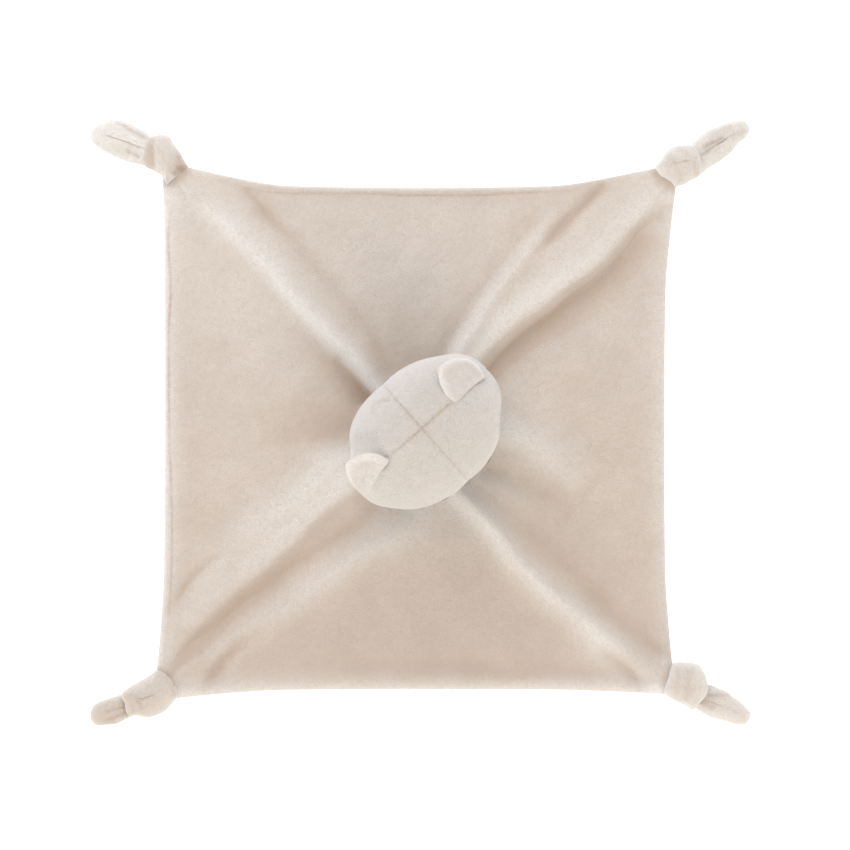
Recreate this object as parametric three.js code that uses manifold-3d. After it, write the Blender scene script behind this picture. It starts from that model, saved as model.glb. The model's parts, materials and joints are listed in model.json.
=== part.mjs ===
// Comfort blanket: two square plush layers with four knotted corners and a stuffed animal's head in the
// middle.
// Millimetres, +Z up. The origin is the middle of the flat underside, and +X and +Y run along the sides.

import * as THREE from 'three';
import { mergeVertices } from 'three/addons/utils/BufferGeometryUtils.js';
import Module from 'manifold-3d';

const wasm = await Module();
wasm.setup();

// Fits

const clearance = 0.3; // air between two pieces that touch
const overrun = 5; // how far a cutting box runs past what it cuts

// Blanket

const blanketWidth = 300; // along X, across the middle
const blanketDepth = 301; // along Y, across the middle
const clothThickness = 2.4; // one layer with its pile
const cornerPull = 13.5; // how far the most drawn corner reaches past its edges
const cornerLift = 6; // how far the cloth climbs to its knots
const cornerLiftReach = 32; // from the knot's middle to where that climb starts
const edgeRound = 1.2; // how far each layer's edge is rounded back
const seamThreadRadius = 0.45;
const threadSides = 6;
const sideSteps = 12; // steps along each side of the square
const clothRings = 10;
const sharedRings = 3; // rings at the rim that both layers have
const plainRingStep = 3; // nearer the neck the flat layer has one ring in this many
const bowShare = 0.35; // of a corner's pull that is an even bow, the rest starts halfway out
const ringSpacingPower = 1.35; // rings crowd towards the neck
const edgeFadePower = 8; // folds lie down at the edge

// Folds, which run from the neck to the corners

const foldHeight = 8.4;
const foldWidth = 14;
const foldReach = 205; // from the neck to where the long folds end
const foldCurvePower = 1.7;
const neckRise = 5.5; // the cloth's own climb to the neck
const neckRiseReach = 26;
const ridgeBlend = 3; // power that joins folds which run together

// Each fold's turn in degrees about the neck, at the neck and far out, where it starts and ends, its height
// at both ends and its width.
const foldShares = [
  { near: 135, far: 134, start: 0.1, end: 0.98, high: 0.95, low: 0.4, wide: 0.45 },
  { near: 108, far: 119, start: 0.2, end: 0.9, high: 0.3, low: 0.3, wide: 1.1 },
  { near: 76, far: 61, start: 0.1, end: 0.75, high: 0.55, low: 0.25, wide: 0.5 },
  { near: 57, far: 46.5, start: 0.1, end: 0.98, high: 0.95, low: 0.45, wide: 0.8 },
  { near: 30, far: 38, start: 0.1, end: 0.95, high: 0.5, low: 0.3, wide: 1.2 },
  { near: 2, far: -14, start: 0.1, end: 0.4, high: 0.5, low: 0, wide: 0.7 },
  { near: -35, far: -40, start: 0.1, end: 0.95, high: 0.5, low: 0.3, wide: 0.8 },
  { near: -63, far: -48, start: 0.1, end: 0.98, high: 1, low: 0.4, wide: 0.8 },
  { near: -98, far: -133, start: 0.1, end: 0.95, high: 0.8, low: 0.35, wide: 0.9 },
  { near: -152, far: -142, start: 0.1, end: 0.98, high: 0.95, low: 0.45, wide: 0.85 },
  { near: -178, far: -148, start: 0.1, end: 0.95, high: 0.65, low: 0.3, wide: 0.9 },
];

// Knots and tails

const knotRadius = 12.5; // about the line that its tail swings on
const knotHalfWidth = 14; // along that line
const knotSink = 0.7; // how far its underside is pressed flat
const tailSwingGap = 0.7; // room for a tail's root to pass round its knot
const tailLength = 50; // from the knot's middle to the tip
const tailWidth = 21;
const tailThickness = 10;
const tailSink = 0.5; // how far its underside is pressed flat
const tailRootShare = 0.62; // of its width, inside the knot
const tailWidestShare = 0.62; // of its length
const tailTipShare = 0.7; // of its thickness, at the tip
const tailRings = 9;
const tailRingPower = 1.8; // rings crowd towards the tip
const roundSides = 16; // around a tail

// Each corner's side, the pull of its cloth along X and Y, its knot's place from the cloth's corner in knot
// radii, the tail's turn in degrees and its length and width.
const cornerShares = {
  upper_left: { side: [-1, 1], pull: [0.04, 1], knot: [0.18, 0.14], turn: 162, long: 0.95, wide: 1 },
  upper_right: { side: [1, 1], pull: [0.52, 0.93], knot: [0.02, -0.11], turn: 32, long: 1, wide: 0.95 },
  lower_right: { side: [1, -1], pull: [0.37, 0.19], knot: [0.66, 0.43], turn: -27, long: 0.83, wide: 0.83 },
  lower_left: { side: [-1, -1], pull: [0.37, 0.41], knot: [-0.13, 0.29], turn: 203, long: 0.78, wide: 0.83 },
};

const sideNames = ['upper', 'right', 'lower', 'left']; // of the blanket's edges, from the first corner on

// Neck

const neckX = 6.9; // the neck's middle on the blanket
const neckY = 3.5;
const headTurn = 41.5; // degrees from +X to the head's left ear
const pivotDrop = 25; // from the head's widest part down to the point that it swings about
const neckBallRadius = 17.6; // the gathered tuft inside the head
const neckWaistTurn = 36; // degrees below the pivot at which the tuft meets its waist
const neckThreadRadius = 0.5;
const neckThreadTurn = 9; // degrees below the pivot at which the seam runs
const neckSwingGap = 0.6; // room for the head to pass round the neck's seam
const neckSides = 32;
const neckBallSteps = 10;

// Head

const headHalfWidth = 52;
const headFront = 41.7; // from the crown to the face
const headBack = 34.9; // from the crown to the back of the head
const crownBack = 3.6; // the crown seam's place behind the neck
const headMiddle = 51.5; // height of the widest part
const headUpper = 42; // from there to the crown
const headLower = 33; // from there to the underside
const headClothThickness = 2;
const headSides = 32;
const headRings = 14;
const fillSides = 24;
const fillRings = 10;

// Ears

const earWidth = 31;
const earHeight = 20.5;
const earClothThickness = 2;
const earSeatTurn = 42; // degrees from the crown down the seam to the ear's middle
const earCup = 3; // how far the ear's sides curl forwards
const earSteps = 14; // along the rim
const earSeatSteps = 8; // along the seat
const earRimPower = 1.9;
const earTipPower = 0.62;
const earMiddleShare = 0.4; // of its height, the point that its rings close on
const earRingShares = [0.5, 0.85, 1];

// Each ear's lean, outwards, back and up.
const earLeanShares = { left: [-0.23, 0.92, 0.32], right: [0.25, 0.62, 0.7] };

// Face, embroidered

const eyeSpread = 33; // between the eyes' middles
const eyeHeight = 47.5;
const eyeWidth = 5;
const eyeTall = 5.6;
const noseHeight = 40.5;
const noseWidth = 10;
const noseTall = 6.5;
const mouthDrop = 8; // from the nose down to the mouth
const mouthWidth = 15;
const mouthRise = 2.6; // how far its ends turn up
const stitchThickness = 1.1;
const mouthStroke = 1.5;
const patchSteps = 14;
const mouthSteps = 10;
const patchRingShares = [0.55, 1];

// Heights and places that follow

const topPanelBase = clothThickness + clearance;
const halfWidth = blanketWidth / 2;
const halfDepth = blanketDepth / 2;
const knotHeight = knotRadius - knotSink;
const pivotHeight = headMiddle - pivotDrop;
const neckWaistRadius = neckBallRadius * Math.cos(THREE.MathUtils.degToRad(neckWaistTurn));
const neckHoleRadius = neckWaistRadius + clearance;
const pocketRadius = neckBallRadius + clearance + 2 * neckThreadRadius + neckSwingGap;
const neckMiddle = new THREE.Vector2(neckX, neckY);

// Shape helpers

function lerp(from, to, share) {
  return from + (to - from) * share;
}

function smooth(share) {
  return THREE.MathUtils.smoothstep(share, 0, 1);
}

function radians(degrees) {
  return THREE.MathUtils.degToRad(degrees);
}

function turned(radius, angle, height) {
  return new THREE.Vector3(radius * Math.cos(angle), radius * Math.sin(angle), height);
}

// Six times the signed volume inside the triangles.
function sixVolumes(points, faces) {
  let sum = 0;
  for (let k = 0; k < faces.length; k += 3) {
    const [a, b, c] = [points[faces[k]], points[faces[k + 1]], points[faces[k + 2]]];
    sum += a.dot(b.clone().cross(c));
  }
  return sum;
}

function geometryFrom(points, faces) {
  const ordered = sixVolumes(points, faces) < 0 ? faces.toReversed() : faces;
  const geometry = new THREE.BufferGeometry().setFromPoints(points);
  geometry.setIndex(ordered);
  return geometry;
}

// A closed body through rings of points. Its ends close on two points, or the last ring meets the first.
function loft(rings, ends) {
  const count = rings[0].length;
  const points = rings.flat();
  const faces = [];
  const bands = ends ? rings.length - 1 : rings.length;
  for (let j = 0; j < bands; j += 1) {
    const near = j * count;
    const far = ((j + 1) % rings.length) * count;
    for (let i = 0; i < count; i += 1) {
      const next = (i + 1) % count;
      faces.push(near + i, near + next, far + next, near + i, far + next, far + i);
    }
  }
  if (ends) {
    const first = points.push(ends[0]) - 1;
    const last = points.push(ends[1]) - 1;
    const start = (rings.length - 1) * count;
    for (let i = 0; i < count; i += 1) {
      const next = (i + 1) % count;
      faces.push(first, next, i, last, start + i, start + next);
    }
  }
  return geometryFrom(points, faces);
}

function solidOf(geometry) {
  const bare = geometry.clone();
  bare.deleteAttribute('normal');
  bare.deleteAttribute('uv');
  const merged = mergeVertices(bare);
  return new wasm.Manifold(
    new wasm.Mesh({
      numProp: 3,
      vertProperties: new Float32Array(merged.attributes.position.array),
      triVerts: new Uint32Array(merged.index.array),
    }),
  );
}

function geometryOf(solid) {
  const mesh = solid.getMesh();
  const geometry = new THREE.BufferGeometry();
  geometry.setAttribute('position', new THREE.BufferAttribute(mesh.vertProperties, 3));
  geometry.setIndex(new THREE.BufferAttribute(mesh.triVerts, 1));
  return geometry;
}

function cutBy(geometry, tools) {
  return geometryOf(tools.reduce((solid, tool) => solid.subtract(tool), solidOf(geometry)));
}

// Materials

const plush = new THREE.MeshStandardMaterial({ color: '#d8cbc0', roughness: 0.95, metalness: 0 });
const filling = new THREE.MeshStandardMaterial({ color: '#f3f1ec', roughness: 1, metalness: 0 });
const sewingThread = new THREE.MeshStandardMaterial({ color: '#cdbfb2', roughness: 0.7, metalness: 0 });
const embroidery = new THREE.MeshStandardMaterial({ color: '#6b5548', roughness: 0.55, metalness: 0 });

const part = new THREE.Group();
const head = new THREE.Group();
head.position.set(neckX, neckY, 0);
head.rotation.z = radians(headTurn);
part.add(head);

function addPiece(group, name, geometry, material) {
  const mesh = new THREE.Mesh(geometry, material);
  mesh.name = name;
  geometry.computeVertexNormals();
  group.add(mesh);
}

// Corners, in order round the blanket, with the cloth's corner and the knot's middle

const corners = Object.entries(cornerShares).map(([name, share]) => {
  const [sideX, sideY] = share.side;
  const cloth = new THREE.Vector2(
    sideX * (halfWidth + cornerPull * share.pull[0]),
    sideY * (halfDepth + cornerPull * share.pull[1]),
  );
  const knot = new THREE.Vector3(
    cloth.x + knotRadius * share.knot[0],
    cloth.y + knotRadius * share.knot[1],
    knotHeight,
  );
  return { name, share, cloth, knot, turn: radians(share.turn) };
});

// The pull of a corner at a share of the way from the middle of an edge.
function pullAt(share) {
  return bowShare * share ** 2 + (1 - bowShare) * smooth(2 * share - 1);
}

// One point of the blanket's outline, a share from -1 to 1 along the side between two corners.
function edgePoint(from, to, share) {
  const middle = (share + 1) / 2;
  const nearest = share < 0 ? from.cloth : to.cloth;
  const point = from.cloth.clone().lerp(to.cloth, middle);
  const pull = pullAt(Math.abs(share));
  if (from.share.side[1] === to.share.side[1]) {
    point.y = lerp(from.share.side[1] * halfDepth, nearest.y, pull);
  } else {
    point.x = lerp(from.share.side[0] * halfWidth, nearest.x, pull);
  }
  return point;
}

const outline = corners.flatMap((corner, k) => {
  const next = corners[(k + 1) % corners.length];
  return Array.from({ length: sideSteps }, (_, i) => edgePoint(corner, next, (2 * i) / sideSteps - 1));
});

// The folds' height over the flat cloth, at a place given from the neck. The ridges' powers are added, so
// that where two run together the cloth is little higher than either.
function foldHeightAt(offset) {
  const radius = offset.length();
  const rise = neckRise * Math.exp(-Math.max(0, radius - neckHoleRadius) / neckRiseReach);
  let sum = rise ** ridgeBlend;
  for (const fold of foldShares) {
    const along = (radius / foldReach - fold.start) / (fold.end - fold.start);
    const held = THREE.MathUtils.clamp(along, 0, 1);
    const turn = radians(lerp(fold.near, fold.far, 1 - (1 - held) ** foldCurvePower));
    const side = Math.sin(offset.angle() - turn) * radius;
    const ahead = Math.cos(offset.angle() - turn) > 0 ? 1 : 0;
    const spread = Math.exp(-((side / (foldWidth * fold.wide)) ** 2));
    const fading = 1 - smooth(along - 1 + fold.start);
    const tall = foldHeight * lerp(fold.high, fold.low, held) * fading;
    sum += (ahead * tall * spread) ** ridgeBlend;
  }
  return sum ** (1 / ridgeBlend);
}

function liftAt(point) {
  const nearest = Math.min(...corners.map(({ knot }) => Math.hypot(point.x - knot.x, point.y - knot.y)));
  return cornerLift * (1 - smooth(nearest / cornerLiftReach));
}

// One ring of a cloth layer, a share of the way from the neck's hole to an edge that is drawn back a little.
function clothRing(share, back, height) {
  return outline.map((edge) => {
    const outwards = edge.clone().sub(neckMiddle);
    const direction = outwards.clone().normalize();
    const inner = neckMiddle.clone().addScaledVector(direction, neckHoleRadius);
    const outer = edge.clone().addScaledVector(direction, -back);
    const point = inner.lerp(outer, share ** ringSpacingPower);
    return new THREE.Vector3(point.x, point.y, height(point, share) + liftAt(point));
  });
}

const ringShares = Array.from({ length: clothRings + 1 }, (_, j) => j / clothRings);
const firstSharedRing = clothRings - sharedRings;
const flatRingShares = ringShares.filter((_, j) => j % plainRingStep === 0 || j >= firstSharedRing);

function topHeight(above) {
  return (point, share) => {
    const fade = 1 - share ** edgeFadePower;
    return topPanelBase + above + fade * foldHeightAt(point.clone().sub(neckMiddle));
  };
}

function flatHeight(above) {
  return () => above;
}

// An inflated copy of each knot cuts whatever meets it.
function knotShape(corner, extra) {
  const geometry = new THREE.SphereGeometry(1, roundSides, roundSides / 2);
  geometry.rotateZ(Math.PI / roundSides);
  geometry.scale(knotRadius + extra, knotHalfWidth + extra, knotRadius + extra);
  geometry.rotateZ(corner.turn);
  geometry.translate(corner.knot.x, corner.knot.y, corner.knot.z);
  return solidOf(geometry);
}

function floorBox() {
  const side = 2 * (blanketWidth + blanketDepth);
  const box = new THREE.BoxGeometry(side, side, knotRadius);
  box.translate(0, 0, -knotRadius / 2);
  return solidOf(box);
}

const knotCutters = corners.map((corner) => knotShape(corner, clearance));

// The rings of one side of a layer, from the neck's hole to its drawn-back edge.
function clothSide(shares, height) {
  return shares.map((share) => clothRing(share, share === 1 ? edgeRound : 0, height));
}

function addBlanket() {
  const half = clothThickness / 2;
  const upper = clothSide(ringShares, topHeight(clothThickness));
  const lower = clothSide(ringShares, topHeight(0));
  const top = loft([...upper, clothRing(1, 0, topHeight(half)), ...lower.toReversed()], null);
  addPiece(part, 'blanket_top_panel', cutBy(top, knotCutters), plush);

  const inside = clothSide(flatRingShares, flatHeight(clothThickness));
  const underside = clothSide(flatRingShares, flatHeight(0));
  const ends = [0, clothThickness].map((height) => new THREE.Vector3(neckX, neckY, height));
  const bottom = loft([...underside, clothRing(1, 0, flatHeight(half)), ...inside.toReversed()], ends);
  addPiece(part, 'blanket_bottom_panel', cutBy(bottom, knotCutters), plush);
}

// The thread that joins the two layers lies in the groove between their rounded edges, one run to a side.
function addEdgeThreads() {
  const height = clothThickness + clearance / 2;
  const lines = Array.from({ length: threadSides }, (_, k) => {
    const angle = (2 * Math.PI * k) / threadSides;
    const back = seamThreadRadius * (1 - Math.cos(angle));
    return clothRing(1, back, flatHeight(height + seamThreadRadius * Math.sin(angle)));
  });
  const middles = clothRing(1, seamThreadRadius, flatHeight(height));
  sideNames.forEach((name, side) => {
    const first = side * sideSteps;
    const places = Array.from({ length: sideSteps + 1 }, (_, i) => (first + i) % outline.length);
    const sections = places.map((place) => lines.map((line) => line[place]));
    const run = loft(sections, [middles[places[0]], middles[places[sideSteps]]]);
    addPiece(part, `${name}_seam_thread`, cutBy(run, knotCutters), sewingThread);
  });
}

function addCorner(corner) {
  const floor = floorBox();
  const knot = geometryOf(knotShape(corner, 0).subtract(floor));
  addPiece(part, `${corner.name}_knot`, knot, plush);

  const { share } = corner;
  const length = tailLength * share.long;
  const halfWide = (tailWidth * share.wide) / 2;
  const along = new THREE.Vector3(Math.cos(corner.turn), Math.sin(corner.turn), 0);
  const across = new THREE.Vector3(-along.y, along.x, 0);
  const sectionAt = (step) => {
    const reach = 1 - (1 - step / tailRings) ** tailRingPower;
    const past = Math.max(0, (reach - tailWidestShare) / (1 - tailWidestShare));
    const swell = smooth(reach / tailWidestShare);
    const wide = halfWide * lerp(tailRootShare, 1, swell) * Math.sqrt(1 - past ** 2);
    const thick = (tailThickness / 2) * lerp(1, tailTipShare, past) * Math.sqrt(1 - past ** 4);
    const lying = tailThickness / 2 - tailSink;
    const height = lerp(knotHeight, lying, swell) - (tailThickness / 2 - thick) * past;
    const middle = corner.knot.clone().addScaledVector(along, length * reach).setZ(height);
    return { middle, wide, thick };
  };
  const rings = Array.from({ length: tailRings }, (_, step) => {
    const { middle, wide, thick } = sectionAt(step);
    return Array.from({ length: roundSides }, (__, i) => {
      const angle = (2 * Math.PI * i) / roundSides;
      const point = middle.clone().addScaledVector(across, wide * Math.cos(angle));
      point.z += thick * Math.sin(angle);
      return point;
    });
  });
  const tip = sectionAt(tailRings).middle;
  const tail = loft(rings, [sectionAt(0).middle, tip]);
  const cutter = knotShape(corner, tailSwingGap);
  addPiece(part, `${corner.name}_tail`, cutBy(tail, [cutter, floor]), plush);
}

// Head surface: two half ellipsoids front and back, and two heights above and below the widest part.

function headPoint(turn, down, inset) {
  const deep = Math.sin(turn) > 0 ? headBack : headFront;
  const tall = Math.cos(down) > 0 ? headUpper : headLower;
  return new THREE.Vector3(
    (headHalfWidth - inset) * Math.sin(down) * Math.cos(turn),
    crownBack + (deep - inset) * Math.sin(down) * Math.sin(turn),
    headMiddle + (tall - inset) * Math.cos(down),
  );
}

function headSolid(sides, ringCount, inset) {
  const rings = Array.from({ length: ringCount }, (_, j) => {
    const down = (Math.PI * (j + 1)) / (ringCount + 1);
    const turns = Array.from({ length: sides }, (__, i) => (2 * Math.PI * (i + 0.5)) / sides);
    return turns.map((turn) => headPoint(turn, down, inset));
  });
  return solidOf(loft(rings, [headPoint(0, 0, inset), headPoint(0, Math.PI, inset)]));
}

function neckPocket() {
  const ball = new THREE.SphereGeometry(pocketRadius, neckSides, neckSides / 2);
  ball.rotateX(Math.PI / 2);
  ball.translate(0, 0, pivotHeight);
  return solidOf(ball);
}

// A box over one quarter of the head, half a seam's gap from the two seams.
function quarterBox(sideX, sideY) {
  const wide = headHalfWidth + overrun;
  const deep = headFront + headBack;
  const box = new THREE.BoxGeometry(wide, deep, 2 * (headUpper + headLower));
  const reachX = (wide + clearance) / 2;
  const reachY = (deep + clearance) / 2;
  box.translate(sideX * reachX, crownBack + sideY * reachY, headMiddle);
  return solidOf(box);
}

function addHead() {
  const pocket = neckPocket();
  const hollow = headSolid(fillSides, fillRings, headClothThickness);
  const shell = headSolid(headSides, headRings, 0).subtract(hollow).subtract(pocket);
  const quarters = {
    head_front_left: [1, -1],
    head_front_right: [-1, -1],
    head_back_left: [1, 1],
    head_back_right: [-1, 1],
  };
  for (const [name, [sideX, sideY]] of Object.entries(quarters)) {
    addPiece(head, name, geometryOf(shell.intersect(quarterBox(sideX, sideY))), plush);
  }
  const fill = headSolid(fillSides, fillRings, headClothThickness + clearance).subtract(pocket);
  addPiece(head, 'head_filling', geometryOf(fill), filling);
}

// The blanket's middle is gathered into a tuft that the head is sewn around.
function addNeck() {
  const start = -radians(neckWaistTurn);
  const profile = [new THREE.Vector2(0, topPanelBase), new THREE.Vector2(neckWaistRadius, topPanelBase)];
  for (let step = 0; step <= neckBallSteps; step += 1) {
    const angle = lerp(start, Math.PI / 2, step / neckBallSteps);
    const radius = step === neckBallSteps ? 0 : neckBallRadius * Math.cos(angle);
    profile.push(new THREE.Vector2(radius, pivotHeight + neckBallRadius * Math.sin(angle)));
  }
  const tuft = new THREE.LatheGeometry(profile, neckSides);
  tuft.rotateX(Math.PI / 2);
  addPiece(head, 'neck_gather', geometryOf(solidOf(tuft)), plush);

  const ringTurn = radians(neckThreadTurn);
  const ringReach = neckBallRadius + clearance + neckThreadRadius;
  const ring = Array.from({ length: 2 * neckSides }, (_, i) => {
    const angle = (Math.PI * i) / neckSides;
    return Array.from({ length: threadSides }, (__, k) => {
      const around = (2 * Math.PI * k) / threadSides;
      const reach = ringReach + neckThreadRadius * Math.cos(around);
      const height = pivotHeight - ringReach * Math.sin(ringTurn) + neckThreadRadius * Math.sin(around);
      return turned(reach * Math.cos(ringTurn), angle, height);
    });
  });
  addPiece(head, 'neck_seam_thread', loft(ring, null), sewingThread);
}

// How far a point stands off the head's surface, near it.
function standOff(point) {
  const deep = point.y > crownBack ? headBack : headFront;
  const tall = point.z > headMiddle ? headUpper : headLower;
  const sizes = new THREE.Vector3(headHalfWidth, deep, tall);
  const shares = point.clone().sub(new THREE.Vector3(0, crownBack, headMiddle)).divide(sizes);
  const reach = shares.length();
  return (reach * (reach - 1)) / shares.divide(sizes).length();
}

// An ear swings on a line along the crown seam, and its seat follows the head round that line.
function addEar(side) {
  const outwards = side === 'left' ? 1 : -1;
  const down = radians(earSeatTurn);
  const thick = earClothThickness + clearance / 2;
  const hingeRadius = thick + clearance;
  const seat = headPoint(0, down, 0);
  const along = new THREE.Vector3(headHalfWidth * Math.cos(down), 0, -headUpper * Math.sin(down));
  along.normalize();
  const normal = new THREE.Vector3(-along.z, 0, along.x);
  const hinge = seat.addScaledVector(normal, hingeRadius + clearance);
  const [leanOut, leanBack, leanUp] = earLeanShares[side];
  const lean = new THREE.Vector3(leanOut, leanBack, leanUp).normalize();
  const slant = lean.dot(along);
  const upwards = lean.clone().addScaledVector(along, -slant).normalize();
  const forwards = along.clone().cross(upwards);
  const halfWide = earWidth / 2;

  const seatDrop = (share) => {
    const room = standOff(hinge.clone().addScaledVector(along, share * halfWide)) - clearance;
    return -Math.sqrt(Math.max(0, room ** 2 - thick ** 2));
  };
  const seatLine = Array.from({ length: earSeatSteps }, (_, i) => {
    const share = lerp(-1, 1, i / earSeatSteps);
    return new THREE.Vector2(share * halfWide, seatDrop(Math.abs(share)));
  });
  const rimLine = Array.from({ length: earSteps }, (_, i) => {
    const angle = (Math.PI * i) / earSteps;
    const tall = earHeight * Math.sin(angle);
    const wide = halfWide * (1 - (tall / earHeight) ** earRimPower) ** earTipPower;
    const drop = seatDrop(1) * (1 - Math.sin(angle)) ** 2;
    return new THREE.Vector2(Math.sign(Math.cos(angle)) * wide, tall + drop);
  });
  const rim = [...seatLine, ...rimLine];

  const place = (flat, off) => {
    const rise = flat.y / earHeight;
    const cup = earCup * (flat.x / halfWide) ** 2 * Math.max(0, rise);
    const point = hinge.clone();
    point.addScaledVector(along, flat.x + slant * Math.max(0, flat.y));
    point.addScaledVector(upwards, flat.y);
    point.addScaledVector(forwards, off + cup);
    point.x *= outwards;
    return point;
  };
  const middle = new THREE.Vector2(0, earHeight * earMiddleShare);
  const sheet = (from, to) => {
    const ringAt = (share, off) => rim.map((flat) => place(middle.clone().lerp(flat, share), off));
    const lower = earRingShares.map((share) => ringAt(share, from));
    const upper = earRingShares.map((share) => ringAt(share, to)).toReversed();
    return loft([...lower, ...upper], [place(middle, from), place(middle, to)]);
  };
  addPiece(head, `${side}_ear_front`, sheet(clearance / 2, thick), plush);
  addPiece(head, `${side}_ear_back`, sheet(-thick, -clearance / 2), plush);
}

// A place on the face from its sideways place and height, standing proud of the cloth.
function facePoint(x, z, proud) {
  const tall = z > headMiddle ? headUpper : headLower;
  const across = x / headHalfWidth;
  const upwards = (z - headMiddle) / tall;
  const inwards = -Math.sqrt(1 - across ** 2 - upwards ** 2);
  const normal = new THREE.Vector3(across / headHalfWidth, inwards / headFront, upwards / tall);
  const point = new THREE.Vector3(x, crownBack + headFront * inwards, z);
  return point.addScaledVector(normal.normalize(), proud);
}

// A satin-stitched patch: its outline gives a sideways and an upward place for an angle.
function stitchedPatch(x, z, outlineAt) {
  const ringAt = (share, proud) =>
    Array.from({ length: patchSteps }, (_, i) => {
      const [right, up] = outlineAt((2 * Math.PI * i) / patchSteps);
      return facePoint(x + right * share, z + up * share, proud);
    });
  const top = clearance + stitchThickness;
  const lower = patchRingShares.map((share) => ringAt(share, clearance));
  const upper = [ringAt(patchRingShares[0], top)];
  const edge = ringAt(1, clearance + stitchThickness / 2);
  return loft([...lower, edge, ...upper], [facePoint(x, z, clearance), facePoint(x, z, top)]);
}

function addFace() {
  const eye = (angle) => [(eyeWidth / 2) * Math.cos(angle), (eyeTall / 2) * Math.sin(angle)];
  addPiece(head, 'left_eye', stitchedPatch(eyeSpread / 2, eyeHeight, eye), embroidery);
  addPiece(head, 'right_eye', stitchedPatch(-eyeSpread / 2, eyeHeight, eye), embroidery);

  const nose = (angle) => {
    const narrowing = lerp(1, 0.5, (1 - Math.sin(angle)) / 2);
    return [(noseWidth / 2) * Math.cos(angle) * narrowing, (noseTall / 2) * Math.sin(angle)];
  };
  addPiece(head, 'nose', stitchedPatch(0, noseHeight, nose), embroidery);

  const half = mouthStroke / 2;
  const rings = Array.from({ length: mouthSteps + 1 }, (_, i) => {
    const share = lerp(-1, 1, i / mouthSteps);
    const x = (share * mouthWidth) / 2;
    const z = noseHeight - mouthDrop + mouthRise * share ** 2;
    const top = clearance + stitchThickness;
    return [
      facePoint(x, z - half, clearance),
      facePoint(x, z + half, clearance),
      facePoint(x, z + half, top),
      facePoint(x, z - half, top),
    ];
  });
  const endHeight = noseHeight - mouthDrop + mouthRise;
  const endAt = (share) =>
    facePoint((share * mouthWidth) / 2, endHeight, clearance + stitchThickness / 2);
  addPiece(head, 'mouth', loft(rings, [endAt(-1), endAt(1)]), embroidery);
}

addBlanket();
addEdgeThreads();
corners.forEach(addCorner);
addNeck();
addHead();
addEar('left');
addEar('right');
addFace();

export default part;
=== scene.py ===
import json
import math

import bpy
import numpy as np
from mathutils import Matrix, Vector


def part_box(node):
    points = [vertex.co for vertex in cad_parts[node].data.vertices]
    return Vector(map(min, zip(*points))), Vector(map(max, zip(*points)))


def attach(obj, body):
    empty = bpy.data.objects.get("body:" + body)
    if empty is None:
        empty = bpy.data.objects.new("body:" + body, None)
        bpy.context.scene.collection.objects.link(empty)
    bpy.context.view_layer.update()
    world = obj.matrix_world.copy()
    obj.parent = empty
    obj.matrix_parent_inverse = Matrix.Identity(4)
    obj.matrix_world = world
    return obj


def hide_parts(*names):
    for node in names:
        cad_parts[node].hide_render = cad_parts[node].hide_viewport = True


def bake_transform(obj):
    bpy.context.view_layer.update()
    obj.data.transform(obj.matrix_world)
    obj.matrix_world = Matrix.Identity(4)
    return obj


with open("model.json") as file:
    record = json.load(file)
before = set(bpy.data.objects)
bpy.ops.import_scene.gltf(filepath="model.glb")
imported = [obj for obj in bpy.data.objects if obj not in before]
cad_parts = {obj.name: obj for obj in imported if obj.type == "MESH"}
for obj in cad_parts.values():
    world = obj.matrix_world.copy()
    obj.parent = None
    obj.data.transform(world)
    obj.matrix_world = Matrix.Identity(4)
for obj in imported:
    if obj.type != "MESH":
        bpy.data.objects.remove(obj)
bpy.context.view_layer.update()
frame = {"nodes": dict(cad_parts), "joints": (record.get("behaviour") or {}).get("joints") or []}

# Plush comfort blanket, knotted at its corners, with a stuffed animal's head sewn to its middle.
# Shapes are worked out in millimetres and become metres when a mesh is made.

mm = 0.001
joints = {joint["name"]: joint for joint in frame["joints"]}
print("frame loaded:", len(frame["nodes"]), "nodes")


# Camera, as the photograph was taken: straight down from well above

camera = dict(
    overX=6.3,          # the point it looks at, in mm from the blanket's middle
    overY=8.1,
    height=1400,
    viewAngle=20.69,    # degrees
)
cameraData = bpy.data.cameras.new("cameraAbove")
cameraData.angle = math.radians(camera["viewAngle"])
cameraObject = bpy.data.objects.new("cameraAbove", cameraData)
cameraObject.location = Vector((camera["overX"], camera["overY"], camera["height"])) * mm
bpy.context.scene.collection.objects.link(cameraObject)
bpy.context.scene.camera = cameraObject


# Small helpers for whole arrays

def smoothstep(values, low, high):
    # 0 below low, 1 above high, and 3t^2 - 2t^3 between
    t = np.clip((np.asarray(values, float) - low) / (high - low), 0, 1)
    return t * t * (3 - 2 * t)


def mix(a, b, share):
    return a + (b - a) * share


def bump(values, middle, halfWidth):
    # a bell: exp of minus the squared distance in half widths
    return np.exp(-((values - middle) / halfWidth) ** 2)


def unit(vector):
    vector = np.asarray(vector, float)
    return vector / np.linalg.norm(vector, axis=-1, keepdims=True)


def stepBetween(values, first, last, start, end):
    # first up to start, last from end on, and a smooth change between
    return mix(first, last, smoothstep(values, start, end))


def flatPlace(x, y):
    # places at height 0, for a noise that doesn't change with height
    return np.stack([x, y, 0 * x], axis=-1)


hashPrimes = np.array([374761393, 668265263, 2147483647])     # large, so that neighbouring corners differ
seedPrime = 1274126177
hashFactor = 1103515245
hashMask = 0xFFFF


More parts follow.
